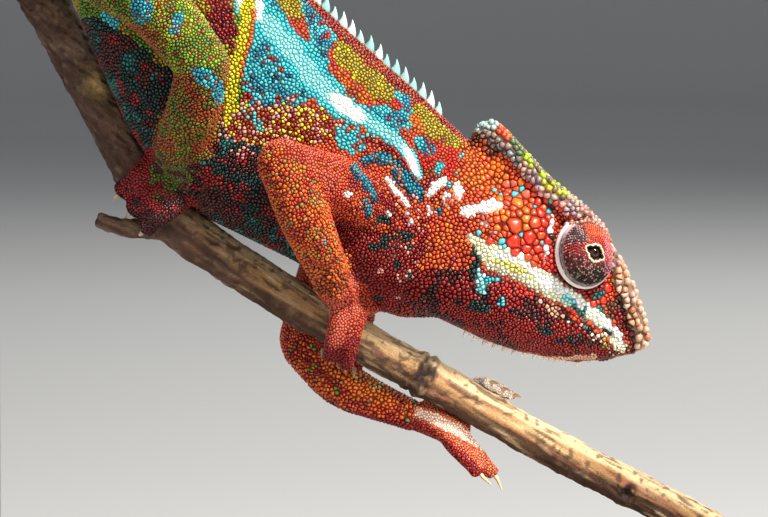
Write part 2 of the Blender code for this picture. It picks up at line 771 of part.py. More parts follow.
def eyes(parts, tools, lid, globe):
    """Each eye is a cone of fused lids with a pit at its tip, and the small dark globe that shows in it."""
    for side, name in ((-1, "right"), (1, "left")):
        middle, gaze, turn = eye_frame(side)
        turret = ball(f"eye_turret_{name}", middle, TURRET_RADII, parts, turn, 14)
        turret.data.materials.append(lid)
        seat = middle + gaze * (TURRET_RADII[2] - 1.25)
        pit = ball(f"pit_{name}", seat, (PUPIL_RADIUS + GAP,) * 3, tools, None, 14)
        boolean(turret, "DIFFERENCE", pit)
        ball(f"eyeball_{name}", seat, (PUPIL_RADIUS,) * 3, parts, None, 10).data.materials.append(globe)


def claws(toes, parts, clearance, horn):
    """A short curved claw just off the tip of every toe, numbered from the near outer toe."""
    trees = {
        thing.name: BVHTree.FromObject(thing, bpy.context.evaluated_depsgraph_get())
        for thing in parts.objects
        if thing.name.startswith(("hand", "foot"))
    }
    for limb, rows_of_toes in toes.items():
        side, kind = limb.split("_")
        tree = trees[f"{kind}_{side}"]
        for n, rows in enumerate(rows_of_toes, 1):
            tip, before = Vector(rows[-1][:3]), Vector(rows[-2][:3])
            run = (tip - before).normalized()
            hit = tree.ray_cast((tip + run * 5.0) * MM, -run)[0]
            start = (hit / MM if hit else tip) + run * (GAP + 0.1)
            bend = (run - (before - Vector(rows[-3][:3])).normalized()).normalized() * 0.5
            middle = start + run * CLAW_LENGTH * 0.5
            end = start + run * CLAW_LENGTH * 0.94 + bend * CLAW_LENGTH * 0.25
            path = ((*start, CLAW_RADIUS), (*middle, CLAW_RADIUS * 0.7), (*end, 0.1))
            claw = tube(f"claw_{kind}_{side}_{n}", path, parts, steps=1, sides_step=0)
            claw.data.materials.append(horn)
            boolean(claw, "DIFFERENCE", clearance)


# ---------------------------------------------------------------- perch and stand
def perch(name, group, swell=0.0):
    """The cut branch with its side twig, or the same shape swollen as a cutter."""
    line = [(x, y, z, radius + swell) for x, y, z, radius in BRANCH]
    side_line = [(x, y, z, radius + swell) for x, y, z, radius in TWIG]
    branch = tube(name, line, group, steps=2, sides_step=3)
    twig = tube(name + ".twig", side_line, group, steps=2, sides_step=2)
    boolean(branch, "UNION", twig)
    bpy.data.objects.remove(twig)
    return branch


def stand(parts, tools, clearance, wood, steel):
    """A bevelled base with two blind sockets, and a rod in each, saddled under the branch."""
    length, width, height = BASE_SIZE
    bm = bmesh.new()
    bmesh.ops.create_cube(bm, size=1.0)
    size = Matrix.Diagonal((length * MM, width * MM, height * MM, 1))
    bm.transform(Matrix.Translation((0, 0, height / 2 * MM)) @ size)
    upright = [e for e in bm.edges if abs(e.verts[0].co.z - e.verts[1].co.z) > MM]
    bmesh.ops.bevel(bm, geom=upright, offset=6 * MM, segments=4, profile=0.5, affect="EDGES")
    rim = [e for e in bm.edges if min(v.co.z for v in e.verts) > (height - 0.01) * MM]
    bmesh.ops.bevel(bm, geom=rim, offset=BASE_ROUNDING * MM, segments=2, profile=0.5, affect="EDGES")
    base = add_object("stand_base", mesh_of(bm, "stand_base"), parts, wood)
    for n, x in enumerate(ROD_PLACES, 1):
        middle, _, _ = perch_at(x)
        foot = height - ROD_SOCKET_DEPTH + GAP
        socket = rod_shape(f"socket{n}", x, middle.y, foot - GAP, height + 5.0, ROD_RADIUS + GAP, tools)
        boolean(base, "DIFFERENCE", socket)
        rod = rod_shape(f"stand_rod_{n}", x, middle.y, foot, middle.z, ROD_RADIUS, parts)
        rod.data.materials.append(steel)
        boolean(rod, "DIFFERENCE", clearance)


def rod_shape(name, x, y, low, high, radius, group):
    bm = bmesh.new()
    bmesh.ops.create_cone(
        bm, cap_ends=True, segments=20, radius1=radius * MM, radius2=radius * MM, depth=(high - low) * MM
    )
    bm.transform(Matrix.Translation((x * MM, y * MM, (low + high) / 2 * MM)))
    return add_object(name, mesh_of(bm, name), group)


# ---------------------------------------------------------------- the whole model
def main():
    clear_scene()
    parts = new_collection("panther_chameleon")
    tools = new_collection("cutters")
    cuts = new_collection("cuts")
    skin = material("scaly_skin", (0.55, 0.09, 0.04), 0.5)
    lid = material("eye_lid", (0.5, 0.12, 0.08), 0.5)
    globe = material("eye_globe", (0.02, 0.012, 0.01), 0.1)
    horn = material("claw_horn", (0.75, 0.66, 0.55), 0.4)
    bark = material("bark", (0.42, 0.3, 0.2), 0.85)
    wood = material("base_board", (0.1, 0.07, 0.05), 0.5)
    steel = material("rod_steel", (0.5, 0.5, 0.52), 0.35, 1.0)

    lead, coil = tail_rows()
    pieces = [trunk_flesh(tools), tube("tail.flesh", lead + coil, tools, steps=3)]
    pieces += head_flesh(tools)
    limbs = limb_shapes()
    for name, limb in limbs.items():
        pieces += limb_flesh(limb, name, 0.0, tools)
    body = fused_flesh(pieces, tools)
    tree = BVHTree.FromObject(body, bpy.context.evaluated_depsgraph_get())
    for name, places in zip(("back_crest", "throat_crest"), crest_places()):
        boolean(body, "UNION", crest(name, places, tree, tools))

    branch = perch("perch_branch", parts)
    branch.data.materials.clear()
    branch.data.materials.append(bark)
    clearance = perch("branch_clearance", tools, GAP)
    boolean(body, "DIFFERENCE", clearance)
    for side in (-1, 1):
        middle, _, turn = eye_frame(side)
        radii = [radius + GAP for radius in TURRET_RADII]
        boolean(body, "DIFFERENCE", ball(f"socket{side}", middle, radii, tools, turn, 14))
    for cut in parting_shells(limbs, tools, cuts) + tail_cuts(cuts):
        boolean(body, "DIFFERENCE", cut)
    whole = part_pieces(body, body_markers(), parts, skin)
    for cut in core_cuts(cuts):
        boolean(whole["core"], "DIFFERENCE", cut)
    part_pieces(whole["core"], core_markers(), parts, skin)
    for name, (upper, lower) in LIMBS.items():
        for cut in joint_cuts(upper, lower, cuts):
            boolean(whole[name], "DIFFERENCE", cut)
        part_pieces(whole[name], limb_markers(name), parts, skin)
    for piece in parts.objects:
        if piece.data.materials[0] == skin:
            plain_faces(piece)
    eyes(parts, tools, lid, globe)
    claws({name: limb[2] for name, limb in limbs.items()}, parts, clearance, horn)
    stand(parts, tools, clearance, wood, steel)

    for group in (tools, cuts):
        for thing in group.objects:
            thing.hide_render = True
            thing.display_type = "WIRE"
    for thing in parts.objects:
        thing.data.shade_smooth()
        thing.data.set_sharp_from_angle(angle=math.radians(40))


main()
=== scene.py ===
import heapq
import math

import bmesh
import bpy
import numpy as np
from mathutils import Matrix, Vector
from mathutils.bvhtree import BVHTree
from mathutils.kdtree import KDTree


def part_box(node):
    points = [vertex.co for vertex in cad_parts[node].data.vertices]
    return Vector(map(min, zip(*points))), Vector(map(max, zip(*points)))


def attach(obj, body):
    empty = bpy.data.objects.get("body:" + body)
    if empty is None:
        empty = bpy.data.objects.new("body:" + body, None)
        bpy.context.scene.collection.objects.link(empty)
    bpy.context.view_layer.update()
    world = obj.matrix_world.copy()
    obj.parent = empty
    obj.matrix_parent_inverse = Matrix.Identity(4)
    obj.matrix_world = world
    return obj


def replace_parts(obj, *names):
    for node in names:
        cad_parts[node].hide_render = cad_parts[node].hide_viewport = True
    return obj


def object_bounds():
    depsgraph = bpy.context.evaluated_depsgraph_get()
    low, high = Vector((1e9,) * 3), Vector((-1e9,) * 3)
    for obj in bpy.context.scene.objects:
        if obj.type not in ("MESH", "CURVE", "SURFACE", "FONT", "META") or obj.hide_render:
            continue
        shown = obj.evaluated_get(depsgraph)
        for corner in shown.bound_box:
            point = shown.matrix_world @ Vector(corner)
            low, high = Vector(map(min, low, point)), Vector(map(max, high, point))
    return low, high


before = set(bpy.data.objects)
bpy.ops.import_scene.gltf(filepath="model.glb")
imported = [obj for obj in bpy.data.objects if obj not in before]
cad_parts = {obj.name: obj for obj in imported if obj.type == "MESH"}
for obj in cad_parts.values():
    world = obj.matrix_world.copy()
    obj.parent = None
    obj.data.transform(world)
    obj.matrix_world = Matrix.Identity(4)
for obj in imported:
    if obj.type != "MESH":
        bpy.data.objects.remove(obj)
cad_low, cad_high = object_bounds()


# -------------------- the room
# The model stands on a pale floor that runs up into a plain backdrop, as in a museum's photo bay.
# A small bright lamp stands high in front on the right, a wide dim one low on the left and one behind.
# A narrow spot from low on the right reaches under the head, to the far hand and the branch.
MM = 0.001
VIEW_DISTANCE = 0.9
VIEW_RISE = math.radians(5.0)
VIEW_WIDTH = 0.1536

_, branch_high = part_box("perch_branch")
aim = Vector((branch_high.x - 80 * MM, 0.0, cad_low.z + 92 * MM))
toward_viewer = Vector((0.0, -math.cos(VIEW_RISE), math.sin(VIEW_RISE)))

camera_data = bpy.data.cameras.new("camera")
camera_data.sensor_width = 36.0
camera_data.lens = camera_data.sensor_width * VIEW_DISTANCE / VIEW_WIDTH
camera_data.clip_start, camera_data.clip_end = 0.05, 20.0
camera = bpy.data.objects.new("camera", camera_data)
bpy.context.scene.collection.objects.link(camera)
camera.location = aim + toward_viewer * VIEW_DISTANCE
camera.rotation_euler = toward_viewer.to_track_quat("Z", "Y").to_euler()
bpy.context.scene.camera = camera
bpy.context.scene.view_settings.view_transform = "Standard"


def add_lamp(name, kind, place, power, colour, target=aim):
    """A lamp at this place, in metres from the middle of the view, turned to its target."""
    lamp_data = bpy.data.lights.new(name, kind)
    lamp_data.energy, lamp_data.color = power, colour
    lamp = bpy.data.objects.new(name, lamp_data)
    bpy.context.scene.collection.objects.link(lamp)
    lamp.location = aim + Vector(place)
    lamp.rotation_euler = (lamp.location - target).to_track_quat("Z", "Y").to_euler()
    return lamp_data


add_lamp("key_lamp", "AREA", (0.27, -0.26, 0.40), 5.6, (1.0, 0.955, 0.88)).size = 0.07
add_lamp("fill_lamp", "AREA", (-0.60, -1.00, 0.12), 3.0, (0.90, 0.95, 1.0)).size = 0.8
add_lamp("rim_lamp", "AREA", (0.35, 0.85, 0.75), 6.0, (1.0, 0.98, 0.94)).size = 0.5
far_hand = sum(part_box("hand_left"), Vector()) / 2
hand_spot = add_lamp("hand_spot", "SPOT", (0.25, -0.38, 0.11), 8.0, (1.0, 0.95, 0.88), far_hand)
hand_spot.spot_size, hand_spot.spot_blend, hand_spot.shadow_soft_size = math.radians(7.5), 1.0, 0.008

world = bpy.data.worlds.new("room")
world.use_nodes = True
world.node_tree.nodes["Background"].inputs["Color"].default_value = (0.86, 0.90, 0.95, 1.0)
world.node_tree.nodes["Background"].inputs["Strength"].default_value = 0.23
bpy.context.scene.world = world


class Shade:
    """One socket of a material's nodes, so that its maths reads as an expression."""

    def __init__(self, tree, socket=None):
        self.tree, self.socket = tree, socket

    def add(self, kind, settings=None, sockets=None, out=0):
        """A new node of this kind: its settings, then the values or links of its sockets."""
        node = self.tree.nodes.new(kind)
        for name, value in (settings or {}).items():
            setattr(node, name, value)
        for name, value in (sockets or {}).items():
            if isinstance(value, Shade):
                self.tree.links.new(value.socket, node.inputs[name])
            else:
                node.inputs[name].default_value = value
        return Shade(self.tree, node.outputs[out])

    def math(self, operation, *values):
        return self.add("ShaderNodeMath", {"operation": operation}, dict(enumerate(values)))

    def vector(self, operation, *values, out=0):
        return self.add("ShaderNodeVectorMath", {"operation": operation}, dict(enumerate(values)), out)

    def __add__(self, other):
        return self.math("ADD", self, other)

    def __sub__(self, other):
        return self.math("SUBTRACT", self, other)

    def __rsub__(self, other):
        return self.math("SUBTRACT", other, self)

    def __mul__(self, other):
        return self.math("MULTIPLY", self, other)

    def clamp(self):
        return self.add("ShaderNodeClamp", None, {"Value": self})

    def layer(self, under, over, share):
        """One colour laid over another by a share."""
        under, over = ((*c, 1.0) if isinstance(c, tuple) else c for c in (under, over))
        return self.add("ShaderNodeMix", {"data_type": "RGBA"}, {0: share, 6: under, 7: over}, out=2)


def new_material(name, roughness=0.5, **fixed):
    """A material with its shader's fixed numbers set, and a start for its expressions."""
    material = bpy.data.materials.new(name)
    material.use_nodes = True
    shader = material.node_tree.nodes["Principled BSDF"]
    shader.inputs["Roughness"].default_value = roughness
    for words, value in fixed.items():
        shader.inputs[words.replace("_", " ")].default_value = value
    return material, shader, Shade(material.node_tree)


def place_of(start):
    return start.add("ShaderNodeNewGeometry")


def tint_of(start):
    """The colour that each point of the surface carries."""
    return start.add("ShaderNodeAttribute", {"attribute_name": "Tint"})


def grain_of(start, place, scale, detail=3.0, roughness=0.55):
    """Noise of this many waves to the metre, between 0 and 1."""
    sockets = {"Vector": place, "Scale": scale, "Detail": detail, "Roughness": roughness}
    return start.add("ShaderNodeTexNoise", {"noise_dimensions": "3D"}, sockets)


def finish_with(shader, colour=None, roughness=None, height=None, depth=0.0001, strength=0.5):
    """Joins what varies over the surface to the shader: its colour, its roughness and its relief."""
    links = shader.id_data.links
    if colour is not None:
        links.new(colour.socket, shader.inputs["Base Color"])
    if roughness is not None:
        links.new(roughness.socket, shader.inputs["Roughness"])
    if height is not None:
        sockets = {"Height": height, "Strength": strength, "Distance": depth}
        bump = height.add("ShaderNodeBump", None, sockets)
        links.new(bump.socket, shader.inputs["Normal"])


def paint(red, green, blue):
    """A colour as the eye reads it, 0 to 255, turned into the light that a shader works with."""
    return tuple((part / 255.0) ** 2.2 for part in (red, green, blue))


bay_material, bay_shader, bay_start = new_material("pale_bay", 0.85)
bay_cloud = grain_of(bay_start, place_of(bay_start), 2.5, 2.0)
finish_with(bay_shader, bay_start.layer((0.66, 0.66, 0.65), (0.61, 0.615, 0.62), bay_cloud))

BAY_FRONT, BAY_BACK, BAY_CURVE, BAY_HEIGHT, BAY_SIDE = -3.4, 2.4, 0.8, 4.0, 4.2
bay_profile = [(BAY_FRONT, 0.0), (BAY_BACK, 0.0)]
for angle in np.linspace(0.1, math.pi / 2, 14):
    bay_profile.append((BAY_BACK + BAY_CURVE * math.sin(angle), BAY_CURVE * (1.0 - math.cos(angle))))
bay_profile.append((BAY_BACK + BAY_CURVE, BAY_HEIGHT))
bay_mesh = bmesh.new()
left, right = (
    [bay_mesh.verts.new((x, y, cad_low.z + z)) for y, z in bay_profile] for x in (-BAY_SIDE, BAY_SIDE)
)
for step in range(len(bay_profile) - 1):
    bay_mesh.faces.new((left[step], right[step], right[step + 1], left[step + 1]))


def mesh_of(name, made):
    """A bmesh turned into a mesh."""
    mesh = bpy.data.meshes.new(name)
    made.to_mesh(mesh)
    made.free()
    return mesh


def add_piece(name, mesh, material=None):
    """A mesh, or a bmesh to be turned into one, as an object of the scene with smooth faces."""
    if isinstance(mesh, bmesh.types.BMesh):
        mesh = mesh_of(name, mesh)
    mesh.name = name
    mesh.shade_smooth()
    if material is not None:
        mesh.materials.clear()
        mesh.materials.append(material)
    piece = bpy.data.objects.new(name, mesh)
    bpy.context.scene.collection.objects.link(piece)
    return piece


add_piece("photo_bay", bay_mesh, bay_material)


# -------------------- the skin
# One skin covers the head, jaw, neck, trunk, limbs and tail without a seam. The parted solids are
# swollen until they meet, fused, eased, and then thinned so that the scales end at the solids' surface.
FLESH = ["head", "lower_jaw", "neck", "trunk", "tail_base"] + [f"tail_coil_{n}" for n in range(1, 7)]
for side in ("right", "left"):
    FLESH += [f"{piece}_{side}" for piece in ("upper_arm", "forearm", "hand", "thigh", "shank", "foot")]
PARTS = {name: number for number, name in enumerate(FLESH)}
# In mm: how far each solid is swollen, the skin's net, the scales' height, and a spine's foot.
SKIN_SWELL, SKIN_VOXEL, COAT_DEPTH, SPINE_REACH = 0.22, 0.56, 0.25, 1.7


def welded(name):
    """A CAD node's mesh with its split corners joined again."""
    made = bmesh.new()
    made.from_mesh(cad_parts[name].data)
    bmesh.ops.remove_doubles(made, verts=made.verts, dist=0.002 * MM)
    made.normal_update()
    return made


def apexes_of(made):
    """Tip, direction and height, in mm, of every point of a node that stands up like a spine."""
    found = []
    for tip in made.verts:
        faces = tip.link_faces
        upright = sum((face.normal for face in faces), Vector()) / len(faces)
        around = [edge.other_vert(tip).co for edge in tip.link_edges]
        foot = sum(around, Vector()) / len(around)
        out = (tip.co - foot).normalized()
        low = min((tip.co - place).dot(out) for place in around) / MM
        wide = max((place - foot).length for place in around) / MM
        # Its faces look away from one another, and it stands well above a narrow foot.
        if upright.length < 0.6 and low > 0.4 and wide < 2.4:
            found.append((tip.co / MM, out, (tip.co - foot).length / MM))
    return found


bodies, spine_tips = bmesh.new(), []
lookup_points, lookup_faces, lookup_part = [], [], []
for name in FLESH:
    made = welded(name)
    if name.startswith(("tail_base", "tail_coil_1", "tail_coil_2", "trunk", "neck", "lower_jaw")):
        spine_tips += [(name, *row) for row in apexes_of(made)]
    first = len(lookup_points)
    lookup_points += [vertex.co / MM for vertex in made.verts]
    lookup_faces += [[first + vertex.index for vertex in face.verts] for face in made.faces]
    lookup_part += [PARTS[name]] * len(made.faces)
    for vertex in made.verts:
        vertex.co += vertex.normal * SKIN_SWELL * MM
    bodies.from_mesh(mesh_of(name + "_swollen", made))
part_finder = BVHTree.FromPolygons(lookup_points, lookup_faces)

# The spines of the back and of the throat lie in the middle plane, or point out of the tail's coil.
coil_middle = sum((sum(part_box(f"tail_coil_{n}"), Vector()) / 2 for n in (5, 6)), Vector()) / 2 / MM


def is_crest(name, tip, out):
    """Whether an apex stands where spines grow on its body part, and points the way that they do."""
    if name == "lower_jaw":
        return abs(tip.y) < 0.6 and out.z < -0.5
    if name in ("trunk", "neck"):
        return out.z > 0.4 and abs(out.y) < 0.4 and -5.2 < tip.y < 0.6 and tip.z > 120.0 - 0.2 * tip.x
    return abs(out.y) < 0.45 and out.dot(tip - coil_middle) > 0 and (tip.x < -100 or out.z > 0.3)


spine_tips = [(name, tip, out, height) for name, tip, out, height in spine_tips if is_crest(name, tip, out)]


def remeshed(mesh, voxel):
    """A closed mesh rebuilt as an even net of small squares."""
    draft = add_piece("draft", mesh)
    step = draft.modifiers.new("fuse", "REMESH")
    step.mode, step.voxel_size = "VOXEL", voxel * MM
    made = bpy.data.meshes.new_from_object(draft.evaluated_get(bpy.context.evaluated_depsgraph_get()))
    bpy.data.objects.remove(draft)
    return made


def unit(rows):
    """Directions made one long."""
    return rows / np.maximum(np.linalg.norm(rows, axis=-1, keepdims=True), 1e-9)


class Net:
    """Points in mm, their faces and their edges, as arrays that can be eased and moved."""

    def __init__(self, mesh):
        self.points = np.zeros(len(mesh.vertices) * 3)
        mesh.vertices.foreach_get("co", self.points)
        self.points = self.points.reshape(-1, 3) / MM
        self.faces = np.zeros(len(mesh.loops), np.int64)
        mesh.loops.foreach_get("vertex_index", self.faces)
        self.faces = self.faces.reshape(-1, 4)
        self.link()

    def link(self):
        """Finds the edges, both ways, and how many neighbours each point has."""
        pairs = np.concatenate([self.faces[:, [k, (k + 1) % 4]] for k in range(4)])
        pairs = np.unique(np.sort(pairs, axis=1), axis=0)
        self.near = np.concatenate([pairs[:, 0], pairs[:, 1]])
        self.far = np.concatenate([pairs[:, 1], pairs[:, 0]])
        self.count = np.bincount(self.near, minlength=len(self.points))

    def keep_largest(self):
        """Drops the small closed pockets that fusing leaves inside."""
        label = np.arange(len(self.points))
        while True:
            lowest = label.copy()
            np.minimum.at(lowest, self.near, label[self.far])
            lowest = lowest[lowest]
            if np.array_equal(lowest, label):
                break
            label = lowest
        kept = label == np.bincount(label).argmax()
        number = np.cumsum(kept) - 1
        self.points = self.points[kept]
        self.faces = number[self.faces[kept[self.faces[:, 0]]]]
        self.link()

    def middle_of_neighbours(self, values):
        sums = [np.bincount(self.near, values[self.far, k], len(values)) for k in range(values.shape[1])]
        return np.stack(sums, axis=1) / self.count[:, None]

    def ease(self, rounds, share=0.6, back=-0.62, mask=None):
        """Smooths by steps forward and back, so that nothing shrinks."""
        mask = 1.0 if mask is None else mask[:, None]
        for _ in range(rounds):
            for step in (share, back):
                if step:
                    self.points += mask * step * (self.middle_of_neighbours(self.points) - self.points)

    def mesh(self, name, tint):
        """The net as a mesh, with its colours."""
        mesh = bpy.data.meshes.new(name)
        mesh.from_pydata((self.points * MM).tolist(), [], self.faces.tolist())
        tinted(mesh, tint)
        return mesh

    def normals(self):
        a, b, c, d = (self.points[self.faces[:, k]] for k in range(4))
        across = np.cross(c - a, d - b)
        corners = self.faces.ravel()
        total = [np.bincount(corners, np.repeat(across[:, k], 4), len(self.points)) for k in range(3)]
        return unit(np.stack(total, axis=1))


skin = Net(remeshed(bodies, SKIN_VOXEL))
skin.keep_largest()

crest_zone = np.zeros(len(skin.points))
for name, tip, out, height in spine_tips:
    offset = skin.points - np.array(tip)
    along = offset @ np.array(out)
    aside = np.linalg.norm(offset - along[:, None] * np.array(out), axis=1)
    crest_zone[(along > -height - 0.5) & (along < 1.5) & (aside < SPINE_REACH)] = 1.0
# The solids' spines are worn away, as the spines are pieces of their own, and the rest is only eased.
skin.ease(90, 0.8, 0.0, crest_zone)
skin.ease(14)
skin.points -= skin.normals() * COAT_DEPTH


def smooth_rise(low, high, values):
    """From 0 at low to 1 at high, with soft ends."""
    share = np.clip((values - low) / (high - low), 0.0, 1.0)
    return share * share * (3.0 - 2.0 * share)


def mottle(places, size, seed):
    """Soft random patches about this many mm across, from 0 to 1 over the surface."""
    at = np.asarray(places) / size + seed * 7.31
    cell = np.floor(at).astype(np.int64)
    inside = at - cell
    inside = inside * inside * (3.0 - 2.0 * inside)
    total = np.zeros(len(at))
    for corner in np.ndindex(2, 2, 2):
        key = (cell + corner) @ np.array([73856093, 19349663, 83492791]) + seed * 9176
        key = (key ^ (key >> 13)) * 1274126177 & 0x7FFFFFFF
        key = (key ^ (key >> 11)) * 668265263 & 0x7FFFFFFF
        total += np.prod(np.where(corner, inside, 1.0 - inside), axis=1) * key / 0x7FFFFFFF
    return total


def parts_at(places, stray=0.0):
    """The number of the body part that each place belongs to, with edges that stray a little."""
    places = np.asarray(places)
    if stray:
        places = places + stray * np.stack([mottle(places, 1.6, seed) - 0.5 for seed in (1, 2, 3)], axis=1)
    return np.array([lookup_part[part_finder.find_nearest(Vector(place))[2]] for place in places])


# Markings and folds are set out on a side drawing of the animal, in mm: along it, and up it.
# The head, neck, trunk and tail carry the same drawing on both sides; each limb has its own.
DRAWING_LEAN = math.sin(VIEW_RISE)
CENTRAL = [PARTS[name] for name in FLESH if not name.endswith(("_right", "_left"))]
FAR = 99.0  # mm, or half widths, beyond all that is looked for


def drawing_of(places, part):
    """Where places lie on the side drawing."""
    across = np.where(np.isin(part, CENTRAL), -np.abs(places[:, 1]), places[:, 1])
    middle = aim.x / MM
    along = middle + (places[:, 0] - middle) * (1.0 - across / (VIEW_DISTANCE / MM))
    return np.stack([along, places[:, 2] + DRAWING_LEAN * across], axis=1)


def stroke(drawing, rows):
    """Distance from a band, as a share of its half width. Its rows are along, up and half width."""
    nearest = np.full(len(drawing), FAR)
    for (u0, w0, half0), (u1, w1, half1) in zip(rows, rows[1:]):
        run = np.array((u1 - u0, w1 - w0))
        share = np.clip(((drawing - (u0, w0)) @ run) / (run @ run), 0.0, 1.0)
        gap = np.linalg.norm(drawing - (u0, w0) - share[:, None] * run, axis=1)
        nearest = np.minimum(nearest, gap / (half0 + (half1 - half0) * share))
    return nearest


def spot(drawing, u, w, half_long, half_wide=None, turn=0.0):
    """Distance from an oval patch, as a share of its own size. Its turn is in degrees."""
    angle, half_wide = math.radians(turn), half_wide or half_long
    offset = drawing - (u, w)
    long = offset @ (math.cos(angle), math.sin(angle))
    wide = offset @ (-math.sin(angle), math.cos(angle))
    return np.hypot(long / half_long, wide / half_wide)


# Folds pressed into the skin: along and up of each line, then its half width and its depth.
MOUTH_LINE = (
    (58.6, 74.2), (55.0, 76.6), (50.0, 79.6), (45.0, 82.6), (40.0, 85.6), (35.0, 88.4), (30.4, 90.4),
)
FOLDS = (
    (((5.0, 110.9), (8.0, 113.0), (11.2, 111.8), (14.0, 108.4), (17.2, 104.4)), 0.7, 0.55),
    (((3.6, 109.6), (6.4, 106.4), (7.8, 102.6)), 0.6, 0.5),
    (((16.0, 114.0), (17.4, 109.0), (17.6, 103.0), (17.0, 97.0), (15.2, 91.0)), 0.9, 0.6),
    (((9.0, 104.4), (11.6, 101.0), (14.6, 97.4)), 0.7, 0.35),
    (((2.0, 100.4), (6.0, 97.6), (12.0, 96.4)), 0.9, 0.6),
    (((24.6, 93.6), (26.2, 88.6), (29.0, 84.6), (32.0, 82.0)), 0.8, 0.4),
    (((26.4, 116.0), (29.6, 113.6), (32.4, 111.2)), 1.1, 0.5),
)
WRIST_FOLDS = ((89.9, 0.32), (88.7, 0.36), (87.5, 0.38), (86.3, 0.36))
NOSTRIL = (57.3, 77.9, 0.7, 1.0, 60.0)

skin_part = parts_at(skin.points)
drawing = drawing_of(skin.points, skin_part)
on_body = np.isin(skin_part, [PARTS[name] for name in ("head", "lower_jaw", "neck", "trunk")])
press = np.zeros(len(skin.points))
for line, half, depth in FOLDS:
    press += depth * np.exp(-stroke(drawing, [(*row, half) for row in line]) ** 2) * on_body
outward = np.abs(skin.points[:, 1]) > 1.2
mouth = np.exp(-stroke(drawing, [(*row, 0.42) for row in MOUTH_LINE]) ** 2)
press += 0.6 * mouth * np.isin(skin_part, [PARTS["head"], PARTS["lower_jaw"]])
press += 0.9 * np.exp(-spot(drawing, *NOSTRIL) ** 2) * (skin_part == PARTS["head"]) * outward
forearm = skin_part == PARTS["forearm_right"]
for up, depth in WRIST_FOLDS:
    level = drawing[:, 1] + 0.12 * drawing[:, 0] - up
    press += depth * np.exp(-((level / 0.36) ** 2)) * forearm
# Each mitt swells round the roots of its claws and is creased between them, so that its toes show.
claw_finder = KDTree(20)
for number, name in enumerate(sorted(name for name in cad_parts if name.startswith("claw_"))):
    claw_low, claw_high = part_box(name)
    claw_finder.insert((claw_low + claw_high) / 2 / MM, number)
claw_finder.balance()
mitt_parts = [PARTS[name] for name in FLESH if name.startswith(("hand", "foot"))]
mitts = np.flatnonzero(np.isin(skin_part, mitt_parts))
claw_gap = np.full((len(skin.points), 2), FAR)
claw_gap[mitts] = [[row[2] for row in claw_finder.find_n(Vector(skin.points[k]), 2)] for k in mitts]
between_toes = np.exp(-(((claw_gap[:, 1] - claw_gap[:, 0]) / 0.5) ** 2))
press += 0.3 * between_toes * smooth_rise(5.6, 3.0, claw_gap[:, 0])
press -= 0.6 * np.exp(-(((claw_gap[:, 0] - 1.2) / 1.1) ** 2))
skin.points -= skin.normals() * press[:, None]
skin.ease(2)


# -------------------- the markings
# The living colours, laid one over another on the side drawing. Skin and scales take the same ones:
# a scale has one colour all over before its painted shade and highlight, while the skin between scales
# is the same colour, much darker as painted shade.
ORANGE_RED, HOT_RED, ORANGE = paint(218, 72, 28), paint(230, 42, 16), paint(238, 110, 24)
DEEP_RED, MAROON, CRIMSON = paint(146, 15, 7), paint(74, 10, 10), paint(158, 19, 20)
SALMON, PINK, TAN = paint(226, 98, 72), paint(232, 160, 146), paint(226, 168, 132)
YELLOW, OLIVE, GREEN = paint(240, 216, 26), paint(170, 146, 18), paint(98, 138, 26)
LIME, RUST, UMBER = paint(184, 216, 30), paint(168, 66, 16), paint(104, 52, 20)
TURQUOISE, BLUE, CYAN = paint(74, 200, 210), paint(40, 142, 166), paint(70, 216, 226)
NAVY, TEAL, DARK_TEAL = paint(26, 66, 92), paint(26, 110, 104), paint(14, 48, 44)
WHITE, CREAM, ICE = paint(250, 252, 248), paint(250, 246, 206), paint(150, 240, 242)
MAUVE, GREY, SOOT = paint(176, 150, 156), paint(132, 138, 140), paint(22, 14, 14)


